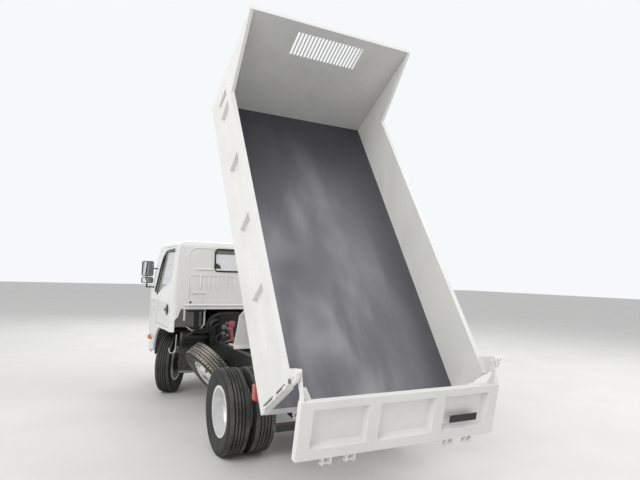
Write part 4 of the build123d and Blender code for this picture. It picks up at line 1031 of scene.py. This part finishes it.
@dataclass
class Tyres:
    """Treaded tyres over the CAD's plain ones, all from one section."""

    radius: float = 0.369
    half_width: float = 0.098
    bead_radius: float = 0.206
    bead_half: float = 0.066
    flange_radius: float = 0.2245
    shoulder: float = 0.020
    shoulder_tuck: float = 0.006
    tread_half: float = 0.084
    crown: float = 0.0035
    side_rings: tuple[tuple[float, float], ...] = ((0.262, 0.004), (0.318, 0.0035))
    ring_height: float = 0.0016
    groove_depth: float = 0.011
    groove_half: float = 0.0055
    groove_wander: float = 0.0018
    road_grooves: tuple[float, ...] = (-0.043, -0.0145, 0.0145, 0.043)
    spare_grooves: tuple[float, ...] = (-0.046, -0.018, 0.018, 0.046)
    lug_count: int = 60
    lug_depth: float = 0.0075
    lug_foot: float = 0.060
    lug_share: float = 0.35
    turns: int = 240
    twin_places: tuple[float, float] = (0.506, 0.734)
    road_dust: Colour = (0.150, 0.146, 0.140)
    clay_dust: Colour = (0.44, 0.40, 0.34)
    spare_x: float = -0.490
    spare_ahead: float = 1.300
    spare_z: float = 0.455
    spare_rise: float = 38.0
    spare_yaw: float = 8.0

    def section(self) -> np.ndarray:
        """Give the section from the right bead round to the left.

        The tread is a shallow arc, the shoulders are rounded, and each sidewall bulges as a
        quarter wave between the rim's flange and the shoulder, with two raised rings.

        Returns:
            (along, radius) points of the closed section.
        """
        wave = np.linspace(0.0, 1.0, 16)
        side_r = self.flange_radius + wave * (self.radius - self.shoulder - self.flange_radius)
        bulge = np.sin(np.clip(wave * 1.12, 0.0, 1.0) * math.pi / 2) ** 0.85
        side_x = self.bead_half + (self.half_width - self.bead_half) * bulge
        side_x = side_x - self.shoulder_tuck * np.clip(wave - 0.75, 0.0, 1.0) * 4 * wave
        rings = sum(np.exp(-((side_r - place) / width) ** 2) for place, width in self.side_rings)
        side_x = side_x + self.ring_height * rings
        tread_x = np.linspace(self.tread_half, -self.tread_half, 85)
        crown = self.radius - self.crown * (tread_x / self.tread_half) ** 2
        right = np.column_stack([side_x, side_r])
        inner = np.array([(self.bead_half, self.bead_radius), (self.bead_half, self.flange_radius)])
        tread = np.column_stack([tread_x, crown])
        left = right[::-1] * np.array([-1.0, 1.0])
        inner_left = inner[::-1] * np.array([-1.0, 1.0])
        return np.vstack([inner, right[1:], tread, left[:-1], inner_left])

    def relief(self, section: np.ndarray, grooves: tuple[float, ...], lugged: bool) -> np.ndarray:
        """Cut the grooves and lugs as a change of radius.

        The grooves run round in a small zigzag. A lugged tyre's shoulders are cut across down to
        half a groove's depth, wherever a sine of the angle is high.

        Args:
            section: The section's (along, radius) points.
            grooves: Where the grooves run.
            lugged: Whether the shoulders have lugs.

        Returns:
            What to add to the radius, by step round the tyre and by section point.
        """
        angle = np.linspace(0.0, math.tau, self.turns, endpoint=False)[:, None]
        along = section[:, 0][None, :]
        on_tread = section[:, 1][None, :] > self.radius - 0.012
        wander = self.groove_wander * np.sin(angle * self.lug_count)
        cut = np.zeros((self.turns, len(section)))
        for number, groove in enumerate(grooves):
            shift = wander if number % 2 == 0 else -wander
            cut += self.groove_depth * (np.abs(along - groove - shift) < self.groove_half)
        lugs = (np.sin(angle * self.lug_count) > self.lug_share) & (np.abs(along) > self.lug_foot)
        return -np.maximum(cut * on_tread, self.lug_depth * lugs * on_tread * lugged)

    def one(self, centre: np.ndarray, axis: np.ndarray, spare: bool = False) -> Surface:
        """Turn one tyre about its axle.

        Args:
            centre: The tyre's middle.
            axis: Its axle's unit vector.
            spare: Whether it is the spare, whose tread is of the lugged kind.

        Returns:
            The closed surface.
        """
        section = self.section()
        grooves = self.spare_grooves if spare else self.road_grooves
        cut = self.relief(section, grooves, spare)
        return lathe(section[::-1], centre, axis, self.turns, cut[:, ::-1])

    def rubber(self, word: str, centre: np.ndarray, axis: np.ndarray, dust: Colour,
               cover: float) -> TyreRubber:
        """Choose a tyre's rubber, set to its own wheel's axis.

        Args:
            word: What the tyre is called.
            centre: The tyre's middle.
            axis: Its axle's unit vector.
            dust: The dust's colour.
            cover: How much dust lies on it.

        Returns:
            The finish.
        """
        return TyreRubber(name=f"tyre_rubber_{word}", centre=tuple(map(float, centre)),
                          axis=tuple(map(float, axis)), radius=self.radius, dust=dust, cover=cover)

    def build(self) -> None:
        """Make the front pair, both twin pairs and the spare."""
        middle = chassis(0.0, 0.0, self.radius)
        for side, word in SIDES:
            joint = JOINTS[f"roll_front_{word}"]
            centre, axis = np.array(joint["pos_m"]), np.array(joint["axis"])
            rubber = self.rubber(f"front_{word}", centre, axis, self.road_dust, 0.6)
            self.one(centre, axis).piece(f"tread_front_{word}", rubber, f"wheel_front_{word}",
                                         (f"tyre_front_{word}",), "tyre_rubber")
            rubber = self.rubber(f"rear_{word}", middle, RIGHT, self.road_dust, 1.0)
            twin = [self.one(chassis(side * x, 0.0, self.radius), RIGHT) for x in self.twin_places]
            together(twin).piece(f"tread_rear_{word}", rubber, f"wheels_rear_{word}",
                                 (f"tyres_rear_{word}",), "tyre_rubber")
        rise, yaw = math.radians(self.spare_rise), math.radians(self.spare_yaw)
        axis = np.array([math.cos(rise) * math.cos(yaw), math.cos(rise) * math.sin(yaw),
                         math.sin(rise)])
        centre = chassis(self.spare_x, self.spare_ahead, self.spare_z)
        rubber = self.rubber("spare", centre, axis, self.clay_dust, 1.3)
        self.one(centre, axis, True).piece("tread_spare", rubber, "chassis", ("spare_tyre",),
                                           "tyre_rubber")


@dataclass
class Hubs:
    """Wheel nuts and their stud ends on all four hubs."""

    nut_radius: float = 0.0165
    nut_height: float = 0.019
    washer: float = 0.004
    chamfer: float = 0.003
    stud_radius: float = 0.0085
    circle: float = 0.098
    count: int = 6
    front_face: float = 0.100
    rear_face: float = 0.629

    def ring(self, centre: np.ndarray, way: np.ndarray) -> Surface:
        """Set chamfered nuts and their stud ends round a hub.

        Args:
            centre: The middle of the face that the nuts sit on.
            way: The unit vector that they point along.

        Returns:
            All the nuts of the hub.
        """
        first, second = basis(way)
        nuts = []
        for number in range(self.count):
            turn = math.tau * (number + 0.5) / self.count
            place = centre + self.circle * (math.cos(turn) * first + math.sin(turn) * second)
            wide, narrow = self.nut_radius + self.washer, self.nut_radius - self.chamfer
            head = [(0.0, wide), (0.003, wide), (0.004, self.nut_radius),
                    (self.nut_height - self.chamfer, self.nut_radius), (self.nut_height, narrow)]
            stud = [(0.004, self.stud_radius), (self.nut_height + 0.010, self.stud_radius),
                    (self.nut_height + 0.012, 0.007)]
            nuts += [knob(head, place, way, 6), knob(stud, place, way, 12)]
        return together(nuts)

    def build(self) -> None:
        """Put the nuts on the discs of all four hubs."""
        for side, word in SIDES:
            joint = JOINTS[f"roll_front_{word}"]
            way = side * np.array(joint["axis"])
            face = np.array(joint["pos_m"]) + self.front_face * way
            self.ring(face, way).piece(f"nuts_front_{word}", Coat.ZINC, f"wheel_front_{word}")
            rear = chassis(side * self.rear_face, 0.0, JOINTS["roll_rear_left"]["pos_m"][2])
            self.ring(rear, side * RIGHT).piece(f"nuts_rear_{word}", Coat.ZINC,
                                                f"wheels_rear_{word}")


@dataclass
class CabOutside:
    """Gaskets, lamps, handles, visors, wipers and pressings on the cab and its doors."""

    rear_y: float = 1.980
    front_y: float = 3.585
    half_width: float = 0.845
    belt_z: float = 1.180
    roof_z: float = 1.968
    tumblehome: float = 0.080
    screen_rake: float = 0.375
    window_half: float = 0.322
    window_foot: float = 1.595
    window_head: float = 1.874
    mirror_y: float = 3.230
    mirror_heights: tuple[tuple[float, float], ...] = ((1.510, 1.705), (1.408, 1.480))
    handle_y: float = 2.220
    handle_z: float = 1.092
    visor_foot: float = 1.26
    wiper_heights: tuple[float, float, float] = (1.235, 1.300, 1.372)
    bead_radius: float = 0.010
    sill_radius: float = 0.014
    bead_sink: float = 0.004

    def share(self, z: np.ndarray) -> np.ndarray:
        """Give how far heights stand from the belt to the roof, from 0 to 1."""
        return np.clip((z - self.belt_z) / (self.roof_z - self.belt_z), 0.0, 1.0)

    def side_x(self, z: np.ndarray) -> np.ndarray:
        """Give the right side's X at heights: it leans in above the belt."""
        return self.half_width - self.tumblehome * self.share(z)

    def screen_y(self, z: np.ndarray) -> np.ndarray:
        """Give the screen's Y from the rear axle at heights: it is raked above the belt."""
        return self.front_y - self.screen_rake * self.share(z)

    def surround(self, foot: tuple[float, float], head: tuple[float, float], corner: float,
                 y: float, radius: float) -> Surface:
        """Run a round bead along a rounded outline that faces along the truck.

        Args:
            foot: The outline's lower corner, as (x, z).
            head: Its upper corner on the other side.
            corner: How far from a corner its curve starts.
            y: Its place from the rear axle.
            radius: The bead's radius.

        Returns:
            The closed ring.
        """
        ring = rounded_ring([foot, (foot[0], head[1]), head, (head[0], foot[1])], corner)
        place = np.column_stack([ring[:, 0], np.full(len(ring), y + AXLE_Y), ring[:, 1]])
        return tube(place, radius, 10, closed=True)

    def rear_gasket(self) -> None:
        """Run a black gasket round the rear window."""
        self.surround((self.window_half, self.window_foot), (-self.window_half, self.window_head),
                      0.045, self.rear_y - 0.001, 0.011).piece(
            "rear_window_rubber", Coat.RUBBER, "cab", slot="hose_rubber")

    def door_gaskets(self) -> None:
        """Run a black channel round each door's window."""
        outline = [(2.195, 1.470), (2.710, 1.340), (3.065, 1.210), (2.855, 1.835), (2.195, 1.835)]
        ring = rounded_ring(outline, 0.030)
        for side, word in SIDES:
            x = side * (self.side_x(ring[:, 1]) - 0.0115)
            place = np.column_stack([x, ring[:, 0] + AXLE_Y, ring[:, 1]])
            tube(place, 0.0075, 8, closed=True).piece(f"door_channel_{word}", Coat.RUBBER,
                                                      f"door_{word}", slot="hose_rubber")

    def side_lamps(self) -> None:
        """Set an amber lamp in its black rim on each side ahead of the wheel arch."""
        box((0.846, 3.218, 0.612), (0.890, 3.296, 0.668)).both_sides().piece(
            "side_lamps", Coat.AMBER_LENS, "cab", slot="lamp_lens", bevel=0.006)
        box((0.843, 3.211, 0.605), (0.850, 3.303, 0.675)).both_sides().piece(
            "side_lamp_rims", Coat.PLASTIC, "cab", bevel=0.002)

    def front_lamps(self) -> None:
        """Ring the head lamps, give them bowls and set amber lamps beside them."""
        self.surround((0.695, 0.668), (0.465, 0.802), 0.030, self.front_y + 0.012,
                      0.009).both_sides().piece("head_lamp_rims", Coat.CHROME, "cab",
                                                slot="rod_chrome")
        bowl = [(-0.002, 0.055), (0.0255, 0.055), (0.0265, 0.052), (0.0265, 0.012)]
        knob(bowl, chassis(0.580, self.front_y, 0.735), AHEAD, 36).both_sides().piece(
            "head_lamp_bowls", Coat.CLEAR_LENS, "cab", slot="head_lens")
        box((0.712, self.front_y - 0.020, 0.675),
            (0.792, self.front_y + 0.008, 0.795)).both_sides().piece(
            "front_signals", Coat.AMBER_LENS, "cab", slot="lamp_lens", bevel=0.010)

    def mirror_glass(self) -> None:
        """Face each mirror's rear side with silvered glass."""
        parts = [box((0.867, self.mirror_y - 0.0016, foot), (1.007, self.mirror_y + 0.001, head))
                 for foot, head in self.mirror_heights]
        together(parts).both_sides().piece("mirror_glass", Coat.MIRROR, "cab", bevel=0.001)

    def handles(self) -> None:
        """Cap each door's grip in black with a grey pull, and set a lock beside it."""
        y, z = self.handle_y, self.handle_z
        covers = (("dish", 0.0775, 0.0225, 0.8445, 0.8685, Coat.PLASTIC),
                  ("paddle", 0.0520, 0.0090, 0.8600, 0.8715, Coat.SHADE))
        rounds = (("handle_plate", 0.070, 0.0020, 0.0035, 0.003, (0.845, y, z), 40, Coat.PLASTIC),
                  ("door_lock", 0.009, 0.0030, 0.0040, 0.002, (0.8475, y - 0.020, z - 0.045), 20,
                   Coat.ZINC))
        for side, word in SIDES:
            for name, reach, rise, low, high, coat in covers:
                start, end = sorted((side * low, side * high))
                box((start, y - reach, z - rise), (end, y + reach, z + rise)).piece(
                    f"handle_{name}_{word}", coat, f"door_{word}", bevel=0.45 * rise)
            for name, radius, out, crown, chamfer, place, turns, coat in rounds:
                profile = [(-0.002, radius), (out, radius), (crown, radius - chamfer)]
                knob(profile, chassis(side * place[0], *place[1:]), side * RIGHT, turns).piece(
                    f"{name}_{word}", coat, f"door_{word}")

    def visors(self) -> None:
        """Stand a smoked rain visor off each door's window, up its front edge and along its top.

        Each section is a bent strip: it rises from the door and leans over the window, and its
        corners are given as the way out from the door and the way in towards the window.
        """
        section = ((-0.002, 0.0), (0.020, 0.010), (0.027, 0.042), (0.024, 0.043),
                   (0.016, 0.014), (-0.002, 0.005))
        path = smooth_path([(0.0, 3.098, 1.205), (0.0, 2.880, 1.872), (0.0, 2.240, 1.872)], 4)
        path = path[path[:, 2] > self.visor_foot]
        inward = np.array([0.0, 2.600, 1.560]) - path
        inward /= np.linalg.norm(inward, axis=1)[:, None]
        for side, word in SIDES:
            corners = [path + inward * reach + np.outer(self.side_x(path[:, 2]) + out,
                                                        side * RIGHT)
                       for out, reach in section]
            rings = np.stack(corners, axis=1) + AXLE_Y * AHEAD
            caps = rings[[0, -1]].mean(axis=1, keepdims=True).repeat(len(section), axis=1)
            rings = np.vstack([caps[:1], rings, caps[1:]])
            faces = grid_faces(len(rings), len(section), False)
            Surface(rings.reshape(-1, 3), faces[:, ::side]).piece(
                f"door_visor_{word}", Coat.SMOKE, f"door_{word}")

    def wipers(self) -> None:
        """Lay two wipers across the screen, an arm and a blade each, the blade along the glass."""
        parts = []
        foot, elbow, head = self.wiper_heights
        for pivot, reach in ((-0.420, -0.06), (0.200, 0.52)):
            arm = [chassis(x, float(self.screen_y(np.array(z))) + 0.022, z)
                   for x, z in ((pivot, foot), (0.595 * pivot + 0.405 * reach, elbow),
                                (reach, head))]
            parts.append(tube(smooth_path(arm, 2), 0.006, 8))
            run = np.linspace(-0.210, 0.210, 9)
            blade_z = head + run * 0.16
            blade = np.column_stack([reach + run, self.screen_y(blade_z) + 0.012 + AXLE_Y, blade_z])
            parts.append(tube(blade, 0.0055, 6))
            boss = [(-0.030, 0.016), (0.010, 0.016), (0.018, 0.011)]
            parts.append(knob(boss, arm[0] - 0.012 * AHEAD, AHEAD + 0.3 * UP, 20))
        together(parts).piece("wipers", Coat.PLASTIC, "cab")

    def rear_plug(self) -> None:
        """Close the drain hole in the rear panel with its black plug."""
        plug = [(-0.004, 0.0135), (0.0015, 0.0135), (0.003, 0.010)]
        knob(plug, chassis(-0.613, self.rear_y, 1.200), -AHEAD, 20).piece(
            "rear_panel_plug", Coat.RUBBER, "cab")

    def rear_beads(self) -> None:
        """Press the rear panel: frames beside the window, a sill, flutes, slots and a foot."""
        left = [((-0.350, 1.878), (-0.672, 1.884), (-0.664, 1.625)),
                ((-0.640, 1.430), (-0.648, 1.330), (-0.646, 1.205)),
                ((-0.590, 1.316), (-0.525, 1.316)), ((-0.500, 1.316), (-0.440, 1.316)),
                ((-0.480, 1.275), (-0.478, 1.190))]
        left += [((x, 1.545), (x, 1.375)) for x in (-0.495, -0.385, -0.275, -0.165, -0.055)]
        whole = [((-0.550, 1.612), (0.550, 1.612)), ((-0.690, 1.163), (0.690, 1.163))]
        beads = []
        for runs, radius, twice in ((left, self.bead_radius, True),
                                    (whole, self.sill_radius, False)):
            for run in runs:
                path = np.array([chassis(x, self.rear_y + self.bead_sink, z) for x, z in run])
                bead = tube(smooth_path(path) if len(run) > 2 else path, radius, 10)
                beads.append(bead.both_sides() if twice else bead)
        together(beads).piece("rear_panel_beads", Coat.CAB_WHITE, "cab", slot="white_paint")

    def build(self) -> None:
        """Dress the cab's outside."""
        self.rear_gasket()
        self.door_gaskets()
        self.side_lamps()
        self.front_lamps()
        self.mirror_glass()
        self.handles()
        self.visors()
        self.wipers()
        self.rear_plug()
        self.rear_beads()


@dataclass
class Cabin:
    """The cab's two padded seats."""

    seat_in: float = 0.160
    seat_out: float = 0.690
    platform_z: float = 1.130
    riser_y: float = 2.480
    channels: int = 4
    base_lean: float = 0.0524
    back_lean: float = math.radians(100.5)
    roundness: float = 0.32
    pad_rows: int = 49
    pad_turns: int = 120
    seam_half: float = 0.035

    def cushion(self, size: Point, crown: float, channels: int, depth: float) -> Surface:
        """Shape a crowned closed pad about its own middle, X across, Y long, Z up.

        The pad is a box with its corners drawn in, point = half size * sign(c) * |c| ** share for
        the cosines and sines of a ball's two angles, its top is raised by the crown times
        (1 - x^2)(1 - y^2), and sewn channels cut it across as narrow bells.

        Args:
            size: Its width, length and height.
            crown: How far the middle of the top stands above its edges.
            channels: How many seams cross it.
            depth: How deep the seams are.

        Returns:
            The closed surface.
        """
        steep = math.pi / 2 - 1e-3
        up = np.linspace(-steep, steep, self.pad_rows)[:, None]
        turn = np.linspace(0.0, math.tau, self.pad_turns, endpoint=False)[None, :]
        share = self.roundness
        ring = np.abs(np.cos(up)) ** share
        x = ring * np.sign(np.cos(turn)) * np.abs(np.cos(turn)) ** share
        y = ring * np.sign(np.sin(turn)) * np.abs(np.sin(turn)) ** share
        z = np.sign(np.sin(up)) * np.abs(np.sin(up)) ** share + 0.0 * turn
        top = np.clip(z, 0.0, 1.0)
        seams = np.zeros_like(x)
        for number in range(channels):
            middle = -0.62 + 1.24 * (number + 0.5) / channels
            seams += np.exp(-((y - middle) / self.seam_half) ** 2)
        lift = top * (crown * (1 - x ** 2) * (1 - y ** 2) - depth * seams * (1 - x ** 6))
        points = np.stack([x * size[0] / 2, y * size[1] / 2, z * size[2] / 2 + lift], axis=-1)
        faces = grid_faces(self.pad_rows, self.pad_turns, False)
        return Surface(points.reshape(-1, 3), faces[:, ::-1])

    def tipped(self, pad: Surface, lean: float, place: Point) -> Surface:
        """Tip a pad and set it on its seat.

        Args:
            pad: The pad about its own middle.
            lean: How far it tips, in radians.
            place: Its X, its way ahead of the riser and its height over the platform.

        Returns:
            The pad in its place.
        """
        tip = np.array([[1, 0, 0], [0, math.cos(lean), -math.sin(lean)],
                        [0, math.sin(lean), math.cos(lean)]])
        x, ahead, above = place
        return pad.placed(tip, chassis(x, self.riser_y + ahead, self.platform_z + above))

    def build(self) -> None:
        """Make a base cushion, a back and a head rest on each side, in the seats' own space."""
        width = self.seat_out - self.seat_in - 0.010
        base = self.cushion((width, 0.470, 0.105), 0.012, self.channels, 0.006)
        back = self.cushion((width, 0.500, 0.095), 0.010, self.channels + 1, 0.006)
        rest = self.cushion((0.260, 0.100, 0.080), 0.008, 1, 0.003)
        pads = []
        for side, _ in SIDES:
            x = side * (self.seat_in + self.seat_out) / 2
            pads += [self.tipped(base, self.base_lean, (x, 0.045, 0.072)),
                     self.tipped(back, self.back_lean, (x, -0.205, 0.330)),
                     self.tipped(rest, self.back_lean, (x, -0.268, 0.600))]
        made = together(pads).piece("seat_pads", Coat.CLOTH, "cab", ("seats",), "seat_cloth",
                                    smooth=70.0)


@dataclass
class EngineBay:
    """What shows under the cab: arch liners, hoses, the engine's face, a tank, flaps and stays."""

    face_y: float = 1.900
    arch_y: float = 2.530
    arch_z: float = 0.369
    arch_radius: float = 0.460
    liner_wall: float = 0.003
    flap_y: float = 2.030
    flap_bow: float = 0.030
    flap_foot: float = 0.335
    flap_height: float = 0.385
    flap_wall: float = 0.006

    def run(self, places: tuple[Point, ...], radius: float, rounds: int = 3) -> Surface:
        """Bend one hose or rod through a few places.

        Args:
            places: The path's corners, from the ground under the rear axle.
            radius: The rod's radius.
            rounds: How often the corners are cut.

        Returns:
            The closed surface.
        """
        return tube(smooth_path([chassis(*place) for place in places], rounds), radius, 12)

    def liners(self) -> None:
        """Curve a black liner over each front wheel, inside the cab's wheel arch.

        The sheet's outer face is the arc (y, z) = centre + radius (cos t, sin t), its inner face
        the same a wall nearer, carried from the rail out to the cab's side.
        """
        turn = np.linspace(math.radians(8.0), math.radians(104.0), 40)
        outer = np.column_stack([np.cos(turn), np.sin(turn)]) * self.arch_radius
        inner = outer[::-1] * (1.0 - self.liner_wall / self.arch_radius)
        loop = np.vstack([outer, inner]) + (self.arch_y + AXLE_Y, self.arch_z)
        sheet(loop, (0.400, 0.832)).both_sides().piece("arch_liners", Coat.PLASTIC, "cab")

    def hoses(self) -> None:
        """Arch the intake hose over the engine's rear, with smaller hoses and looms below it."""
        arch = ((-0.395, 2.010, 0.780), (-0.385, 2.012, 0.900), (-0.335, 2.020, 0.990),
                (-0.235, 2.026, 1.045), (-0.110, 2.026, 1.052), (0.040, 2.026, 1.052),
                (0.120, 2.040, 1.020), (0.140, 2.060, 0.930))
        curve = smooth_path([chassis(*place) for place in arch], 4)
        hose = tube(curve, 0.030, 20)
        ribs = [knob([(-0.006, 0.029), (-0.003, 0.0335), (0.003, 0.0335), (0.006, 0.029)],
                     curve[at], curve[at + 1] - curve[at - 1], 20)
                for at in (np.linspace(0.12, 0.55, 12) * (len(curve) - 1)).astype(int)]
        together([hose, *ribs]).piece("intake_hose", Coat.RUBBER, "chassis", slot="hose_rubber")
        looms = [self.run(places, radius) for places, radius in (
            (((-0.300, 1.905, 0.700), (-0.290, 1.903, 0.780), (-0.200, 1.901, 0.840),
              (-0.080, 1.903, 0.800), (-0.020, 1.910, 0.720)), 0.012),
            (((0.020, 1.910, 0.980), (0.060, 1.901, 0.960), (0.150, 1.901, 0.900),
              (0.190, 1.901, 0.820), (0.180, 1.910, 0.740)), 0.012),
            (((-0.235, 1.905, 0.700), (-0.280, 1.870, 0.700), (-0.282, 1.840, 0.690),
              (-0.282, 1.780, 0.680)), 0.007),
            (((-0.230, 1.905, 0.930), (-0.300, 1.905, 0.930), (-0.345, 1.915, 0.860),
              (-0.350, 1.930, 0.760), (-0.345, 1.930, 0.690)), 0.009),
            (((-0.270, 1.700, 0.690), (-0.200, 1.660, 0.735), (-0.060, 1.640, 0.742),
              (0.080, 1.660, 0.735), (0.200, 1.700, 0.700)), 0.007),
            (((-0.550, 1.960, 0.960), (-0.520, 1.950, 0.900), (-0.560, 1.945, 0.840),
              (-0.640, 1.950, 0.800), (-0.660, 1.960, 0.740)), 0.013),
            (((-0.660, 1.965, 0.930), (-0.600, 1.950, 0.880), (-0.520, 1.945, 0.870),
              (-0.460, 1.950, 0.820), (-0.450, 1.960, 0.740)), 0.010))]
        together(looms).piece("coolant_hoses", Coat.RUBBER, "chassis", slot="hose_rubber")

    def engine_face(self) -> None:
        """Face the engine block's rear with its housings, a starter, covers and bolts."""
        rear = -AHEAD
        parts = []
        for x, z, radius, depth in ((-0.195, 0.895, 0.033, 0.012), (-0.140, 0.872, 0.022, 0.013),
                                    (-0.205, 0.815, 0.024, 0.012), (-0.150, 0.790, 0.018, 0.013),
                                    (0.110, 0.820, 0.070, 0.011), (-0.165, 0.945, 0.016, 0.012)):
            profile = [(-0.005, radius), (depth * 0.72, radius), (depth * 0.82, radius * 0.90),
                       (depth * 0.83, radius * 0.55), (depth, radius * 0.50)]
            parts.append(knob(profile, chassis(x, self.face_y, z), rear, 28))
        for turn in np.arange(10) * math.tau / 10:
            parts.append(knob([(-0.002, 0.009), (0.008, 0.009), (0.010, 0.007)],
                              chassis(0.195 * math.cos(turn), self.face_y,
                                      0.775 + 0.195 * math.sin(turn)), rear, 6))
        parts.append(self.run(((-0.235, 1.902, 0.690), (-0.170, 1.898, 0.705),
                               (-0.090, 1.898, 0.735), (-0.020, 1.902, 0.760)), 0.010))
        together(parts).piece("engine_housings", Coat.ALLOY, "chassis", slot="engine_iron")
        can = knob([(-0.005, 0.046), (0.007, 0.045), (0.010, 0.040), (0.0105, 0.020),
                    (0.013, 0.017)], chassis(-0.100, self.face_y, 0.930), rear, 28)
        lower = self.run(((-0.092, 1.920, 0.905), (-0.100, 1.918, 0.865), (-0.096, 1.918, 0.805),
                          (-0.080, 1.918, 0.755), (-0.070, 1.920, 0.720)), 0.030)
        together([can, lower]).piece("red_oil_filler", Coat.RED_OXIDE, "chassis")

    def reservoir(self) -> None:
        """Hang the milky expansion tank on the gearbox's side, with its neck and cap."""
        box((-0.250, 1.480, 0.635), (-0.168, 1.540, 0.742)).piece(
            "expansion_tank", Coat.MILKY, "chassis", bevel=0.010)
        knob([(-0.004, 0.016), (0.010, 0.016), (0.012, 0.019), (0.026, 0.019), (0.028, 0.016)],
             chassis(-0.209, 1.510, 0.742), UP, 24).piece(
            "expansion_tank_cap", Coat.PLASTIC, "chassis")

    def flaps(self) -> None:
        """Hang a rubber flap with a metal strip along its foot behind each front wheel.

        The flap is the sheet y = back - bow * (1 - s^2) for a share s of its height, carried
        across its width.
        """
        share = np.linspace(0.0, 1.0, 12)
        height = self.flap_foot + share * self.flap_height
        back = self.flap_y - self.flap_bow * (1.0 - share ** 2)
        loop = np.vstack([np.column_stack([back, height]),
                          np.column_stack([back + self.flap_wall, height])[::-1]])
        sheet(loop + (AXLE_Y, 0.0), (0.480, 0.720)).both_sides().piece(
            "front_flaps", Coat.RUBBER, "chassis", slot="hose_rubber")
        box((0.480, 1.9955, 0.345), (0.720, 1.9995, 0.362)).both_sides().piece(
            "flap_strips", Coat.ZINC, "chassis", bevel=0.001)

    def stays(self) -> None:
        """Bend the white stay under the cab's posts and the splash guards' hooked stays."""
        stay = self.run(((-0.646, 1.993, 0.925), (-0.634, 1.993, 0.897), (-0.589, 1.993, 0.853),
                         (-0.489, 1.993, 0.851), (-0.447, 1.993, 0.899), (-0.434, 1.993, 0.925)),
                        0.011, 2)
        stay.both_sides().piece("tank_stay", Coat.WHITE, "cab")
        hook = self.run(((-0.745, 2.060, 0.800), (-0.752, 2.050, 0.640), (-0.760, 2.040, 0.585),
                         (-0.800, 2.040, 0.575), (-0.828, 2.050, 0.590), (-0.828, 2.060, 0.640)),
                        0.008)
        hook.both_sides().piece("splash_stays", Coat.ZINC, "cab")

    def build(self) -> None:
        """Fill the bay."""
        self.liners()
        self.hoses()
        self.engine_face()
        self.reservoir()
        self.flaps()
        self.stays()


@dataclass
class BedTrim:
    """Small things on the bed: rope hooks, and the rear latches' slots and rods."""

    half_width: float = 0.8425
    hook_places: tuple[float, ...] = (0.30, 0.93, 1.57, 2.20)
    hook_half: float = 0.045

    def hooks(self) -> None:
        """Weld rope hooks under both sills, each a bent rod."""
        parts = []
        side = [(0.790, self.hook_half, -0.012), (0.800, self.hook_half, -0.050),
                (0.812, 0.015, -0.066)]
        for along in self.hook_places:
            path = [(x, along - reach, out) for x, reach, out in side]
            path += [(x, along + reach, out) for x, reach, out in side[::-1]]
            parts.append(tube(smooth_path(path), 0.0055, 8))
        together(parts).on_bed().both_sides().piece("rope_hooks", Coat.BED_WHITE, "bed")

    def latches(self) -> None:
        """Lay each rear latch's rod and its two slots, dark grey as painted shade, along the side's
        rear end.
        """
        x = self.half_width
        slots = []
        for middle, length in ((0.160, 0.190), (0.395, 0.150)):
            low = (x - 0.003, -0.222, middle - length / 2)
            high = (x + 0.0012, -0.196, middle + length / 2)
            slots.append(block(low, high))
        slots.append(knob([(-0.002, 0.017), (0.0012, 0.017), (0.0016, 0.014)],
                          np.array([x + 0.0095, -0.215, 0.560]), RIGHT, 24))
        # Painted shade: the openings are given as dark grey blocks
        together(slots).on_bed().both_sides().piece("latch_slots", Coat.SHADE, "bed", smooth=20.0)
        rod = tube(smooth_path([(x + 0.004, -0.228, 0.075), (x + 0.011, -0.228, 0.100),
                                (x + 0.011, -0.229, 0.300), (x + 0.011, -0.229, 0.470),
                                (x + 0.011, -0.224, 0.540)]), 0.0065, 10)
        rings = [knob([(-0.012, 0.010), (-0.010, 0.013), (0.010, 0.013), (0.012, 0.010)],
                      np.array([x + 0.010, -0.228, out]), UP, 16)
                 for out in (0.110, 0.300, 0.480)]
        grip = knob([(0.0, 0.006), (0.012, 0.007), (0.016, 0.014), (0.026, 0.017),
                     (0.036, 0.013), (0.040, 0.004)], np.array([0.826, -0.200, 0.650]), UP, 24)
        together([rod, *rings, grip]).on_bed().both_sides().piece(
            "latch_rods", Coat.BED_WHITE, "bed")

    def build(self) -> None:
        """Dress the bed."""
        self.hooks()
        self.latches()


@dataclass
class GateTrim:
    """The blank plate on the tailgate's outer face."""

    outer: float = -0.0955
    plate_x: float = 0.502
    plate_z: float = -0.363
    plate_width: float = 0.252
    plate_height: float = 0.054

    def build(self) -> None:
        """Lay the thin blank plate on the gate's right-hand panel."""
        half, tall = self.plate_width / 2, self.plate_height / 2
        low = (self.plate_x - half, self.outer - 0.0030, self.plate_z - tall)
        high = (self.plate_x + half, self.outer + 0.002, self.plate_z + tall)
        block(low, high).on_gate().piece("blank_plate", Coat.PLATE, "tailgate", bevel=0.0015)


@dataclass
class TailLamps:
    """Lenses and black brackets on the tail lamps, as boxes on the right."""

    lens_low: Point = (0.690, -0.7015, 0.605)
    lens_high: Point = (0.752, -0.640, 0.728)
    bracket_low: Point = (0.700, -0.690, 0.729)
    bracket_high: Point = (0.745, -0.650, 0.822)

    def build(self) -> None:
        """Cap each lamp's outer end with an amber lens, and hang it from a bracket."""
        box(self.lens_low, self.lens_high).both_sides().piece(
            "tail_lamp_ends", Coat.TAIL_LENS, "chassis", slot="lamp_lens", bevel=0.010)
        box(self.bracket_low, self.bracket_high).both_sides().piece(
            "tail_lamp_brackets", Coat.BLACK, "chassis", bevel=0.006)


def main() -> None:
    """Build the stage, then the truck's finishes and fine pieces, and note the sizes."""
    logging.basicConfig(level=logging.INFO, format="%(name)s %(message)s")
    Stage().build()
    for assembly in (Frame(), Tyres(), Hubs(), CabOutside(), Cabin(), EngineBay(), BedTrim(),
                     GateTrim(), TailLamps()):
        assembly.build()
        log.info("%s done", type(assembly).__name__)


if __name__ == "__main__":
    main()
